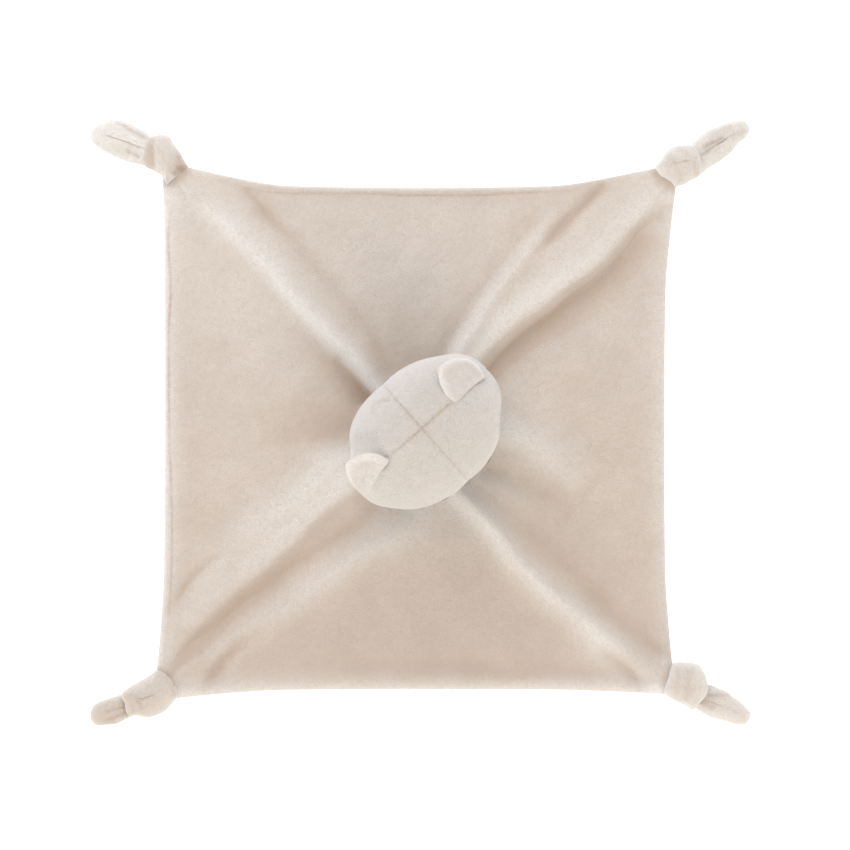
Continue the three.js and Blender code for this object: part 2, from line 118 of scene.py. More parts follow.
def latticeNoise(points, cell, seed):
    # smooth random heights from -1 to 1: a hashed value on each corner of a lattice, blended across its cells
    place = np.asarray(points, float) / cell
    low = np.floor(place).astype(np.int64)
    part = place - low
    part = part * part * (3 - 2 * part)
    total = np.zeros(place.shape[:-1])
    for corner in range(8):
        offset = np.array([corner & 1, (corner >> 1) & 1, (corner >> 2) & 1])
        hashed = ((low + offset) * hashPrimes + seed * seedPrime).sum(axis=-1)
        hashed = (hashed ^ (hashed >> 13)) * hashFactor
        hashed = (hashed ^ (hashed >> 16)) & hashMask
        weight = np.prod(np.where(offset == 1, part, 1 - part), axis=-1)
        total += weight * (hashed / (hashMask / 2) - 1)
    return total


def noiseLayers(points, layers):
    # a sum of noises, each given by its height, its cell and its seed
    return sum(height * latticeNoise(points, cell, seed) for height, cell, seed in layers)


def catmullRom(p0, p1, p2, p3, t):
    # the curve's place at the share t of the way from p1 to p2
    return 0.5 * (2 * p1 + (p2 - p0) * t + (2 * p0 - 5 * p1 + 4 * p2 - p3) * t ** 2
                  + (3 * p1 - p0 - 3 * p2 + p3) * t ** 3)


def splineThrough(points, count):
    # evenly numbered samples of the curve through the points
    points = np.asarray(points, float)
    padded = np.vstack([2 * points[0] - points[1], points, 2 * points[-1] - points[-2]])
    along = np.linspace(0, len(points) - 1, count)
    k = np.minimum(along.astype(int), len(points) - 2)
    return catmullRom(padded[k], padded[k + 1], padded[k + 2], padded[k + 3], (along - k)[:, None])


def closedSpline(points, count):
    # the same once round a closed outline
    points = np.asarray(points, float)
    along = np.arange(count) * len(points) / count
    k = along.astype(int)
    return catmullRom(*(points[(k + shift) % len(points)] for shift in (-1, 0, 1, 2)), (along - k)[:, None])


def nearestOnPath(points, path):
    # the nearest place to each point on a line of straight steps
    path = np.asarray(path, float)
    starts, steps = path[:-1], np.diff(path, axis=0)
    along = ((points[:, None] - starts) * steps).sum(axis=-1) / (steps ** 2).sum(axis=-1)
    places = starts + np.clip(along, 0, 1)[..., None] * steps
    nearest = np.argmin(((points[:, None] - places) ** 2).sum(axis=-1), axis=1)
    return places[np.arange(len(points)), nearest]


poleTurn = 0.03     # radians short of a pillow's poles, where its last rings lie


def pillow(outline, core, rings, around, fullness):
    # copies of a closed outline that shrink onto its core, over the top and back underneath. reach is the share
    # of the way out and rise the share of the way up, and both follow a superellipse.
    edge = closedSpline(outline, around)
    middle = nearestOnPath(edge, core)
    turn = np.linspace(poleTurn, math.pi - poleTurn, rings)[:, None]
    reach = np.sin(turn) ** (2 / fullness) + 0 * edge[:, 0]
    rise = np.sign(np.cos(turn)) * np.abs(np.cos(turn)) ** (2 / fullness) + 0 * edge[:, 0]
    return middle + (edge - middle) * reach[..., None], reach, rise


# Mesh helpers

def enclosedVolume(points, faces):
    # a third of each corner fan's dot and cross product, summed
    total = 0.0
    for rows in faces:
        for k in range(1, rows.shape[1] - 1):
            a, b, c = points[rows[:, 0]], points[rows[:, k]], points[rows[:, k + 1]]
            total += np.einsum("ij,ij->", a, np.cross(b, c)) / 6
    return total


def addMesh(name, points, faces, material, **marks):
    # points in mm, and faces as arrays with one row of point numbers to a face, turned to face outwards. The marks
    # are kept on the points: one is painted light and shade, 1 pale and -1 dark, and the other is painted brown
    # shade along seams, grooves and deep creases.
    points = np.asarray(points, float).reshape(-1, 3)
    if enclosedVolume(points - points.mean(axis=0), faces) < 0:
        faces = [rows[:, ::-1] for rows in faces]
    sizes = np.concatenate([np.full(len(rows), rows.shape[1]) for rows in faces])
    mesh = bpy.data.meshes.new(name)
    mesh.vertices.add(len(points))
    mesh.vertices.foreach_set("co", (points * mm).astype(np.float32).ravel())
    mesh.loops.add(int(sizes.sum()))
    mesh.loops.foreach_set("vertex_index", np.concatenate([rows.ravel() for rows in faces]).astype(np.int32))
    mesh.polygons.add(len(sizes))
    mesh.polygons.foreach_set("loop_start", (np.cumsum(sizes) - sizes).astype(np.int32))
    mesh.polygons.foreach_set("use_smooth", np.ones(len(sizes), bool))
    mesh.update(calc_edges=True)
    mesh.validate()
    for mark, shares in marks.items():
        values = np.zeros(len(points), np.float32)
        values[:np.size(shares)] = np.ravel(shares)
        mesh.attributes.new(mark, "FLOAT", "POINT").data.foreach_set("value", values)
    mesh.materials.append(material)
    piece = bpy.data.objects.new(name, mesh)
    bpy.context.scene.collection.objects.link(piece)
    return piece


def loft(rings):
    # quads between neighbouring rings of points, closed on a point at each end
    rings = np.asarray(rings, float)
    count, around = rings.shape[:2]
    numbers = np.arange(count * around).reshape(count, around)
    near, far = numbers[:-1], numbers[1:]
    quads = np.stack([near, np.roll(near, -1, 1), np.roll(far, -1, 1), far], axis=-1).reshape(-1, 4)
    first, last = numbers[0], numbers[-1]
    poles = np.array([rings[0].mean(axis=0), rings[-1].mean(axis=0)])
    pole = np.full(around, count * around)
    triangles = np.vstack([
        np.stack([pole, np.roll(first, -1), first], axis=-1),
        np.stack([pole + 1, last, np.roll(last, -1)], axis=-1),
    ])
    return np.vstack([rings.reshape(-1, 3), poles]), [quads, triangles]


def copies(points, faces, middles, axes):
    # a small body at each middle, its x, y and z laid along the three rows of each set of axes
    placed = np.einsum("pi,kij->kpj", points, axes) + middles[:, None, :]
    shift = (np.arange(len(middles)) * len(points))[:, None, None]
    return placed.reshape(-1, 3), [(rows[None] + shift).reshape(-1, rows.shape[1]) for rows in faces]


def stitchBody(length, thick, rings=5, sides=6, endShare=0.06, bluntness=0.6):
    # a short thread lying along x: a round section whose radius falls off to both ends as a power of a circle's
    along = np.cos(np.linspace(math.pi * (1 - endShare), math.pi * endShare, rings))
    radius = np.sqrt(1 - along ** 2) ** bluntness
    angle = np.arange(sides) * 2 * math.pi / sides
    ring = np.stack([np.zeros(sides), np.cos(angle), np.sin(angle)], axis=-1)
    body = ring[None] * radius[:, None, None] * thick / 2
    body[..., 0] = along[:, None] * length / 2
    return loft(body)


# Materials

def linearColour(hexText):
    # sRGB hex to linear light
    parts = [int(hexText[k:k + 2], 16) / 255 for k in (1, 3, 5)]
    return tuple(p / 12.92 if p <= 0.04045 else ((p + 0.055) / 1.055) ** 2.4 for p in parts) + (1,)


def addNode(tree, kind, settings=None, links=None):
    # one node, with values for its settings or sockets and links into its sockets
    node = tree.nodes.new(kind)
    for key, value in (settings or {}).items():
        if isinstance(key, str) and hasattr(node, key):
            setattr(node, key, value)
        else:
            node.inputs[key].default_value = value
    for key, source in (links or {}).items():
        tree.links.new(source, node.inputs[key])
    return node


def newMaterial(name):
    material = bpy.data.materials.new(name)
    material.use_nodes = True
    material.node_tree.nodes.clear()
    return material, material.node_tree


plasticIor = 1.5    # of polyester fibre, and near enough of the table's acrylic


def showSurface(tree, settings, links=None):
    shader = addNode(tree, "ShaderNodeBsdfPrincipled", {"IOR": plasticIor, **settings}, links)
    addNode(tree, "ShaderNodeOutputMaterial", None, {"Surface": shader.outputs["BSDF"]})


def mixTint(tree, share, under, over):
    # from one colour to another as the share goes from 0 to 1; under is a hex text or an earlier mix
    values, links = {"data_type": "RGBA", 7: linearColour(over)}, {0: share}
    if isinstance(under, str):
        values[6] = linearColour(under)
    else:
        links[6] = under
    return addNode(tree, "ShaderNodeMix", values, links).outputs[2]


# Velboa: a polyester knit with a short sheared pile. It scatters light softly, turns paler where it is seen
# along the pile, and shows cloudy patches where it was brushed one way or the other. A noise is given by its size
# in mm, detail, roughness and curl, and a range by the noise values between which its tint comes in.
plushSettings = dict(
    colour="#c6bbb0",
    cloudy="#cdc2b8",
    shaded="#b3a393",
    # painted highlight, painted shade and painted seam shade, brought in by the marks on the points
    open="#dfdbd6",
    shut="#b09a86",
    sewn="#a57b5e",
    clouds=(24, 3, 0.55, 0),        # patches brushed one way
    cloudRange=(0.35, 0.65),
    nap=(1.8, 2, 0.6, 1.2),         # tufts that lean together
    napRange=(0.55, 0.3),
    napMottling=0.3,
    pile=(0.7, 2, 0.7, 0),          # coarser than the real pile, so that it shows
    pileRange=(0.6, 0.35),
    pileMottling=0.3,
    napDepth=0.5,       # mm
    pileDepth=0.55,
    roughness=0.95,
    gloss=0.15,
    sheen=0.7,
    sheenRoughness=0.5,
    sheenTint="#fbf9f7",
)


def makePlush(name, settings):
    material, tree = newMaterial(name)

    def noise(size, detail, roughness, curl):
        return addNode(tree, "ShaderNodeTexNoise", {
            "Scale": 1 / (size * mm), "Detail": detail, "Roughness": roughness, "Distortion": curl,
        }, {"Vector": place}).outputs["Fac"]

    def ramp(source, low, high, top=1):
        return addNode(tree, "ShaderNodeMapRange", {"From Min": low, "From Max": high, "To Max": top},
                       {"Value": source}).outputs["Result"]

    def mark(markName):
        return addNode(tree, "ShaderNodeAttribute", {"attribute_name": markName}).outputs["Fac"]

    def relief(height, depthName, links=None):
        return addNode(tree, "ShaderNodeBump", {"Strength": 1, "Distance": settings[depthName] * mm},
                       {"Height": height, **(links or {})}).outputs["Normal"]

    place = addNode(tree, "ShaderNodeTexCoord").outputs["Object"]
    clouds, nap, pile = (noise(*settings[layer]) for layer in ("clouds", "nap", "pile"))
    # the marks on the points bring in the painted highlight, painted shade and painted seam shade
    paintedTone = mark("brushed")
    tone = settings["colour"]
    for share, tint in (
        (ramp(clouds, *settings["cloudRange"]), "cloudy"),
        (ramp(paintedTone, 0, 1), "open"),
        (ramp(paintedTone, 0, -1), "shut"),
        (mark("sewn"), "sewn"),
        (ramp(nap, *settings["napRange"], settings["napMottling"]), "shaded"),
        (ramp(pile, *settings["pileRange"], settings["pileMottling"]), "shaded"),
    ):
        tone = mixTint(tree, share, tone, settings[tint])
    showSurface(tree, {
        "Roughness": settings["roughness"],
        "Diffuse Roughness": 1,
        "Specular IOR Level": settings["gloss"],
        "Sheen Weight": settings["sheen"],
        "Sheen Roughness": settings["sheenRoughness"],
        "Sheen Tint": linearColour(settings["sheenTint"]),
    }, {"Base Color": tone, "Normal": relief(pile, "pileDepth", {"Normal": relief(nap, "napDepth")})})
    return material


plush = makePlush("velboaPlush", plushSettings)
# The head's plush is a paler, greyer copy of the blanket's, standing in for the flatter light on the head, with its
# own painted highlight, shade and seam colours
headPlush = makePlush("velboaPlushHead", dict(
    plushSettings, colour="#c8c2bb", cloudy="#cec8c1", shaded="#b3a79d", open="#e0dad2", shut="#b3b0ad",
    sewn="#a5825f", napDepth=0.8, napMottling=0.35))
earPlush = makePlush("velboaPlushEarLining", dict(
    plushSettings, colour="#cac2ba", cloudy="#cfc8c1", shaded="#b4a79c"))


# Thread: spun polyester for the seams and satin-stitched rayon for the face. Each ply turns about its strand, so
# the light breaks into fine slanting lines, and the rayon is the glossier of the two. Sizes are in mm.
threadSettings = dict(
    plyLean=(0.5, 0.4, 0.7),
    plyWander=1.5,
    plyDepth=0.1,
    plyStrength=0.6,
    sheen=0.2,
)
seamThreadSettings = dict(threadSettings, colour="#d2c4b7", dark="#b9a898", roughness=0.75, gloss=0.3, plySize=0.5)
faceThreadSettings = dict(threadSettings, colour="#73584a", dark="#4a372d", roughness=0.42, gloss=0.5, plySize=0.4)


def makeThread(name, settings):
    material, tree = newMaterial(name)
    place = addNode(tree, "ShaderNodeTexCoord").outputs["Object"]
    turned = addNode(tree, "ShaderNodeMapping", {"Rotation": settings["plyLean"]}, {"Vector": place})
    plies = addNode(tree, "ShaderNodeTexWave", {
        "Scale": 1 / (settings["plySize"] * mm) / (2 * math.pi), "Distortion": settings["plyWander"],
    }, {"Vector": turned.outputs["Vector"]}).outputs["Fac"]
    relief = addNode(tree, "ShaderNodeBump", {
        "Strength": settings["plyStrength"], "Distance": settings["plyDepth"] * mm,
    }, {"Height": plies})
    showSurface(tree, {
        "Roughness": settings["roughness"], "Specular IOR Level": settings["gloss"],
        "Sheen Weight": settings["sheen"],
    }, {
        "Base Color": mixTint(tree, plies, settings["dark"], settings["colour"]),
        "Normal": relief.outputs["Normal"],
    })
    return material


seamThread = makeThread("spunPolyesterThread", seamThreadSettings)
faceThread = makeThread("rayonEmbroideryThread", faceThreadSettings)


# Fibre filling: crimped white polyester staple, all soft scatter and no gloss. Sizes are in mm.
fillingSettings = dict(
    colour="#f7f5f1",
    shaded="#dedbd5",
    tuftSize=4,
    tuftDepth=1.2,
    tuftDetail=5,
    tuftCurl=1.5,
    roughness=1,
    gloss=0.1,
)


def makeFilling(name, settings):
    material, tree = newMaterial(name)
    tufts = addNode(tree, "ShaderNodeTexNoise", {
        "Scale": 1 / (settings["tuftSize"] * mm), "Detail": settings["tuftDetail"],
        "Distortion": settings["tuftCurl"],
    }, {"Vector": addNode(tree, "ShaderNodeTexCoord").outputs["Object"]}).outputs["Fac"]
    relief = addNode(tree, "ShaderNodeBump", {"Strength": 1, "Distance": settings["tuftDepth"] * mm},
                     {"Height": tufts})
    showSurface(tree, {"Roughness": settings["roughness"], "Specular IOR Level": settings["gloss"]}, {
        "Base Color": mixTint(tree, tufts, settings["shaded"], settings["colour"]),
        "Normal": relief.outputs["Normal"],
    })
    return material


fibreFilling = makeFilling("polyesterFibreFilling", fillingSettings)
print("materials made")


# Head sizes, in mm. They come first because the blanket keeps clear of the head. The head's own axes are x towards
# its left ear, y towards its back and z up, from the neck's middle. The seams' pull goes from its first number to
# the second one between the two places that follow.

head = dict(
    turn=41.5,          # degrees from the blanket's x to the head's
    halfWidth=50.9,
    front=40.6,         # from the crown seam to the face
    back=33.8,
    crownBack=3.6,      # the crown seam's place behind the neck
    middle=51.5,        # height of the widest part
    upper=42,
    lower=33,
    cloth=2.2,
    clothLeast=0.05,    # at the crown, where the cloth thins to a point
    clothFullBy=0.1,    # radians down from the crown
    outwardStep=4,      # between the two surfaces that tell which way is out
    seamDepth=0.26,     # how far the cloth turns in at a stitch
    seamHalfWidth=0.85,
    earSeamPull=(0.35, 1, -24, -4),     # along the seam, from the right ear to the left
    faceSeamPull=(0.25, 0.8, -14, 0),   # from the face to the back
    flankSeamPull=(0.04, 1, 58, 82),    # by height
    stitchPitch=3.6,
    stitchWander=1.5,   # radians
    stitchBase=0.78,
    stitchBeat=0.22,
    puff=1.3,           # of each panel between its seams
    puffReach=14,
    earSeamPucker=(0.3, 1.15),      # how deep and how close
    faceSeamPucker=(0.25, 1.2),
    puckerWander=(2, 0.3),
    puckerReach=3.5,
    puckerHeights=(60, 84),
    hollows=[(-3.8, (146, 15)), (-1.2, (46, 16)), (-2.4, (322, 13)), (1.2, (197, 12))],    # mm, at turn and width
    roughness=[(0.5, 24, 31), (0.22, 9, 32), (0.08, 3, 33)],
    backTuck=[(-14.5, 28), (-12, 31), (-8, 30.4), (-3.4, 27)],
    tuckHalfWidth=1.4,
    tuckDepth=0.9,
    highest=0.004,      # radians down from the crown where the panels start
    lowest=2.62,        # and where they reach the neck
    panelGap=0.02,      # between neighbouring panels
    gapRadius=30,       # of the rings that the gap is worked out on, and the least of them
    leastGapRadius=0.4,
    borderCrowding=0.35,    # how much finer the cells are at a panel's border
    borderShare=0.0012,     # of the panel's width, in its first and last cell
    rimHighlight=0.25,       # painted highlight round the widest ring, and how narrow that band is
    rimSharpness=6,
    backShade=0.35,      # painted shade on the two panels at the back
    backSharpness=1.5,
    sewnShadeShares=(0.62, 0.22),    # how brown the painted shade gets along the seams and in the tuck
    across=76,          # points across a panel, and rings down it
    down=190,
)
headTurn = math.radians(head["turn"])
headAcross = np.array([math.cos(headTurn), math.sin(headTurn), 0])
headBackwards = np.array([-math.sin(headTurn), math.cos(headTurn), 0])


# Blanket: the outline is a square whose sides are drawn out to the knots. Noises are given as in noiseLayers.

blanket = dict(
    halfWidth=150,
    halfDepth=150.5,
    bowShare=0.35,      # of a corner's pull that bows the whole side, the rest is near the corner
    bowFrom=0.5,
    seamHeight=2.7,     # of the edge seam above the surface it lies on
    seamGap=0.3,        # that the cloth's inner face keeps from the seam
    topAtEdge=6.6,      # of the upper layer, just inside the rolled edge
    clothThickness=2.2,
    rolledEdge=4.2,     # radius of the rounding at the edge
    underDrop=0.4,      # of the lower layer's edge below the seam
    underThinning=0.8,  # of the seam's height, the most that the lower layer's cloth takes up
    underRim=3,
    topCells=288,
    underCells=96,
    edgeCrowding=0.6,   # how much finer the cells are at the edge
    crowdingReach=0.035,
    tentHeight=5,       # the slow rise of the cloth towards the neck
    tentReach=150,
    neckX=6.9,
    neckY=3.5,
    neckPleats=23,
    neckPleatHeight=0.9,
    neckPleatFrom=17,
    neckPleatReach=9,
    headClearance=3,    # below the head, and more for each mm out to clearanceReach
    clearanceSlope=0.26,
    clearanceReach=45,
    headRoomWide=52,    # half sizes of the room that the head needs
    headRoomDeep=38,
    heldFrom=1,         # the folds are held flat between these places in from the edge
    heldTo=16,
    heldFold=0.25,      # of a fold's height that is left at the edge
    heldRoughness=0.5,
    valleyShare=0.35,   # of a deep valley's depth, as the layer below holds it up
    valleyFloor=-1.2,   # how deep a valley gets before that
    roughness=[(0.55, 38, 1), (0.3, 17, 2), (0.12, 7, 3)],
    nap=[(0.1, 3.1, 4)],
    wanderX=[(1.6, 26, 7)],     # how far a fold strays from its line
    wanderY=[(1.6, 26, 8)],
    cornerLift=7,
    cornerLiftReach=34,
    knotPleats=(15, 26),
    knotPleatTurn=1.7,  # from one knot's pleats to the next one's
    knotPleatHeight=0.8,
    knotPleatFrom=(6, 16),      # from the knot's middle, where they come in
    knotPleatReach=22,
)
neckPlace = np.array([blanket["neckX"], blanket["neckY"], 0])

# Where the cloth's own corners lie, inside the knots, in mm
clothCorners = dict(
    upper_left=(-150.5, 164.0),
    upper_right=(157.0, 163.1),
    lower_right=(155.0, -153.1),
    lower_left=(-155.0, -156.0),
)


def knotMiddle(corner):
    return np.array(joints[corner + "_tail_lift"]["pos_m"]) / mm


def pulled(share):
    # a slow bow that goes as the square of the share, and an S-curve over its outer half
    near = smoothstep(share, blanket["bowFrom"], 1)
    return blanket["bowShare"] * share ** 2 + (1 - blanket["bowShare"]) * near


def sideLine(first, second, share, across, rest):
    # share runs from -1 at the first corner to 1 at the second; across is the axis that bows out from rest
    start, end = np.array(clothCorners[first]), np.array(clothCorners[second])
    line = start + (end - start) * ((share + 1) / 2)[..., None]
    nearest = np.where(share < 0, start[across], end[across])
    line[..., across] = mix(rest, nearest, pulled(np.abs(share)))
    return line


def clothPlace(u, v):
    # Coons patch: the mean of both pairs of opposite sides, less the patch through the four corners
    upper = sideLine("upper_left", "upper_right", u, 1, blanket["halfDepth"])
    lower = sideLine("lower_left", "lower_right", u, 1, -blanket["halfDepth"])
    left = sideLine("lower_left", "upper_left", v, 0, -blanket["halfWidth"])
    right = sideLine("lower_right", "upper_right", v, 0, blanket["halfWidth"])
    s, t = ((u + 1) / 2)[..., None], ((v + 1) / 2)[..., None]
    c = {name: np.array(place) for name, place in clothCorners.items()}
    corners = mix(c["lower_left"], c["lower_right"], s) * (1 - t) + mix(c["upper_left"], c["upper_right"], s) * t
    return mix(lower, upper, t) + mix(left, right, s) - corners


# Folds in the upper layer, as the photograph shows them, each along a line from the neck outwards. height is at
# the near and far end, negative for a valley; left and right are the half widths on both sides of the line.

foldSamples = 36
foldEnding = 0.86       # the share of the line where its far end starts to fade
foldRounding = 0.8      # mm, of the crest


def fold(*line, height, left, right, edge=1.6, starts=0.12, ends=0.75):
    return dict(line=line, height=height, left=left, right=right, edge=edge, starts=starts, ends=ends)


def rimTuck(*line, height, left, right, edge=1.5, starts=0.5, ends=0.3):
    # a short fold that the edge seam's stitches draw in
    return fold(*line, height=height, left=left, right=right, edge=edge, starts=starts, ends=ends)


foldStrokes = [
    # towards the upper left knot
    fold((-9, 15), (-24, 31.2), (-41, 51.4), (-65, 77.8), (-93.8, 109), (-132, 146),
         height=(10.5, 5), left=(2.8, 5.5), right=(3.8, 9), edge=1.35),
    fold((-24, 17), (-42, 38), (-58, 55), (-74, 70), height=(-5, 0), left=(8, 10), right=(4, 6), edge=1.8),
    fold((-17, 13.5), (-28, 26.5), (-38, 38.5), (-49, 52), height=(-10, 0), left=(4, 4), right=(2, 3), edge=1.5),
    fold((-12, 30), (-26.7, 63.9), (-44.1, 87.9), (-63.9, 110.1), (-81.9, 129.9), (-97, 144),
         height=(-3, -3.2), left=(6, 6), right=(7, 6)),
    rimTuck((-60, 106), (-75, 121), (-88, 135), (-99.5, 148.5), height=(-0.5, -4.6), left=(3, 2.6),
            right=(2.6, 2.2)),
    fold((-4, 22), (-4, 48), (-10, 74), (-14, 96), height=(-3, 0), left=(13, 20), right=(14, 20), edge=2),
    fold((-12, -1), (-40, -1), (-57, 0), (-80, 1), (-100, 2), height=(-6.5, 0), left=(7, 8), right=(15, 20),
         edge=1.8),
    # towards the upper right knot
    fold((12, 22), (18, 48), (28, 68), (43.7, 92.5), (67, 121.3), (80, 138),
         height=(-2.5, -1), left=(6, 8), right=(4, 5)),
    fold((17, 25), (25.5, 51), (36.8, 67.5), (52.6, 91.3), (76.4, 120), (88, 137),
         height=(3.8, 1.4), left=(4.5, 6), right=(4.5, 6)),
    fold((23, 22), (45, 50), (67, 73), (99, 98), (131, 122), (152, 143),
         height=(7, 4.2), left=(10, 12), right=(4.5, 6.5), edge=1.7),
    fold((27, 22), (48, 46), (68.5, 64), (89, 78), (109.5, 92.5), (131, 114), (147, 129),
         height=(-9, -6), left=(5.5, 6.5), right=(13, 10)),
    rimTuck((70, 105), (82, 117), (91, 126), (101.1, 136.5), (113, 149.5), height=(-2, -7), left=(4.5, 2.8),
            right=(4, 2.6), edge=1.4, starts=0.4, ends=0.2),
    rimTuck((118, 106), (130, 119), (140, 129), (150, 138.5), height=(-1, -6), left=(4, 2.6), right=(5, 3.4),
            edge=1.4),
    # to the right
    fold((27, 6), (45, 5), (62, 0), (78, -9.5), (93, -21), (106, -33),
         height=(9.5, 2.2), left=(8, 12), right=(5.5, 7), edge=1.7),
    fold((26, -9), (46, -19), (68, -27), (86, -37), (106, -49), height=(-3.8, -1.5), left=(6, 7), right=(9, 10)),
    fold((24, -12), (39.3, -24), (58, -35.5), (78, -52), height=(3, 0.5), left=(5, 7), right=(4, 6)),
    # towards the lower right knot
    fold((22, -18), (35, -27), (56, -43), (78, -62), (101, -85), (124, -108), (145, -127),
         height=(0.2, -4), left=(6, 9), right=(5, 6)),
    fold((14, -18), (27, -32), (45.5, -51.5), (68, -77), (90.5, -99.5), (114, -119.5), (141, -139),
         height=(9.5, 6.2), left=(5, 6), right=(6.5, 9), edge=1.5),
    rimTuck((104, -118), (117, -128.5), (126, -137), (134.5, -147.5), height=(-1, -5.5), left=(4, 3),
            right=(5, 4)),
    rimTuck((128, -112), (137, -119), (144, -124), (149.5, -126.5), height=(-1, -4.5), left=(4, 3), right=(4, 3)),
    # towards the lower left knot
    fold((-14, -7), (-37, -8), (-67, -33), (-104, -63), (-144, -101),
         height=(3.5, 2.2), left=(7, 8), right=(8, 11), edge=1.8),
    fold((-14, -14), (-38, -29), (-65, -51), (-88, -75), (-118, -100), (-144, -126),
         height=(6.5, 3.6), left=(6.5, 7.5), right=(13, 13), edge=1.9),
    fold((-10, -20), (-24, -42), (-41, -58), (-67, -75), (-91, -93), (-119, -119), (-144, -146),
         height=(-3, -2.2), left=(7, 7), right=(6, 6), edge=1.5),
    fold((3, -22), (3, -49), (-33, -73), (-68, -99), (-101, -121), (-132, -145),
         height=(4.5, 2.6), left=(14, 13), right=(8, 8), edge=1.9),
    rimTuck((-78, -107), (-95, -121), (-109, -132), (-119, -142), (-127, -150), height=(-2.2, -4.5), left=(6, 3),
            right=(6, 3)),
    rimTuck((-92, -56), (-115, -71), (-133, -86), (-147.5, -102), height=(-0.5, -3.6), left=(4, 3.4),
            right=(4, 3.4)),
    rimTuck((-112, -104), (-126, -117), (-138, -129), (-147, -140), height=(-1, -4), left=(4, 3), right=(4, 3),
            starts=0.4),
]


def strokeHeight(x, y, stroke):
    # the nearest place on the line gives the share along it and the distance to the left or right; the height
    # falls off as exp of minus that distance in half widths, to the power edge. It grows over the first part of the
    # line, starts, and loses the share ends towards its far end.
    line = splineThrough(stroke["line"], foldSamples)
    starts, steps = line[:-1], np.diff(line, axis=0)
    relX = x[..., None] - starts[:, 0]
    relY = y[..., None] - starts[:, 1]
    along = np.clip((relX * steps[:, 0] + relY * steps[:, 1]) / (steps ** 2).sum(axis=1), 0, 1)
    offX = relX - along * steps[:, 0]
    offY = relY - along * steps[:, 1]
    nearest = np.argmin(offX ** 2 + offY ** 2, axis=-1)[..., None]

    def take(values):
        return np.take_along_axis(values, nearest, axis=-1)[..., 0]

    share = (nearest[..., 0] + take(along)) / (foldSamples - 1)
    distance = np.sqrt(take(offX) ** 2 + take(offY) ** 2)
    step = steps[nearest[..., 0]]
    leftwards = step[..., 0] * take(offY) - step[..., 1] * take(offX) > 0
    near = np.where(leftwards, stroke["left"][0], stroke["right"][0])
    far = np.where(leftwards, stroke["left"][1], stroke["right"][1])
    fade = smoothstep(share, 0, stroke["starts"]) * (1 - stroke["ends"] * smoothstep(share, foldEnding, 1))
    reach = np.sqrt(distance ** 2 + foldRounding ** 2) - foldRounding
    return mix(*stroke["height"], share) * fade * np.exp(-(reach / mix(near, far, share)) ** stroke["edge"])


# Hems, in mm from each edge: a sewn line that shows on the left and upper sides, a pale roll on the right and a
# puffed one with a trough behind it along the lower side. A line comes in and goes again between four places.

hems = dict(
    leftLine=4.4,
    leftShown=(-150, -80, 110, 150),
    upperLine=4.3,
    upperShown=(-120, -70, 60, 110),
    upperShare=0.8,     # of the left line's depth
    lineWander=[(1.6, 30, 9)],
    lineEvenness=0.65,
    lineFading=[(0.35, 19, 10)],
    lineHalfWidth=0.6,
    lineDepth=0.9,
    stitchPitch=5.2,
    stitchBase=0.82,
    stitchBeat=0.18,
    rollHeight=0.9,
    rightRoll=6,
    lowerRoll=5,
    lowerRollShare=1.5,     # of the roll's height
    lowerShown=(-60, 0, 90, 130),
    troughFrom=12.5,
    troughHalfWidth=4,
    troughWander=2,
    troughDepth=2,
    sewnShadeShares=(0.7, 0.5, 0.25),    # of the painted brown shade, in the left line, the upper one and the trough
    puckerLength=7.5,
    puckerHeight=0.28,
    puckerWander=[(1, 22, 5)],
    puckerTurn=5,
    puckerShares=(0.6, 0.4),
    puckerReach=6,
)


def shownBetween(values, start, full, fading, end):
    return smoothstep(values, start, full) * (1 - smoothstep(values, fading, end))


def hemHeight(x, y, inLeft, inRight, inUpper, inLower):
    # in the four last values is the distance to each edge; each roll and line is a bell across that distance. The
    # second result is the painted brown shade in the sewn lines and the trough, from 0 to 1.
    flat = flatPlace(x, y)
    wander = noiseLayers(flat, hems["lineWander"])
    uneven = hems["lineEvenness"] + noiseLayers(flat, hems["lineFading"])
    turn = 2 * math.pi / hems["stitchPitch"]

    def hem(across, along, line, shown):
        # a roll as wide as the sewn line is far in, and the line itself, a groove that is also painted darker
        visible = shownBetween(along, *shown)
        stitched = hems["stitchBase"] + hems["stitchBeat"] * np.sin(turn * along)
        sewn = visible * uneven * bump(across, line + wander, hems["lineHalfWidth"]) * stitched
        return visible * hems["rollHeight"] * bump(across, line / 2, line / 2), sewn

    leftRoll, leftSewnShade = hem(inLeft, y, hems["leftLine"], hems["leftShown"])
    upperRoll, upperSewnShade = hem(inUpper, x, hems["upperLine"], hems["upperShown"])
    trough = shownBetween(x, *hems["lowerShown"]) * uneven * bump(
        inLower, hems["troughFrom"] + hems["troughWander"] * wander, hems["troughHalfWidth"])
    height = (leftRoll + upperRoll - hems["lineDepth"] * (leftSewnShade + hems["upperShare"] * upperSewnShade)
              + hems["rollHeight"] * bump(inRight, 0, hems["rightRoll"])
              + hems["lowerRollShare"] * hems["rollHeight"] * bump(inLower, hems["lowerRoll"], hems["lowerRoll"])
              - hems["troughDepth"] * trough)
    return height, sum(share * sewn for share, sewn in zip(hems["sewnShadeShares"], (leftSewnShade, upperSewnShade, trough)))


def puckerHeight(x, y, inside):
    # ripples across the seam, strongest at the edge, with a wandering length
    along = np.where(np.abs(x) > np.abs(y), y, x)
    wander = noiseLayers(flatPlace(x, y), hems["puckerWander"])
    ripple = np.sin(2 * math.pi * along / hems["puckerLength"] + hems["puckerTurn"] * wander)
    base, swing = hems["puckerShares"]
    return hems["puckerHeight"] * ripple * (base + swing * wander) * np.exp(-inside / hems["puckerReach"])


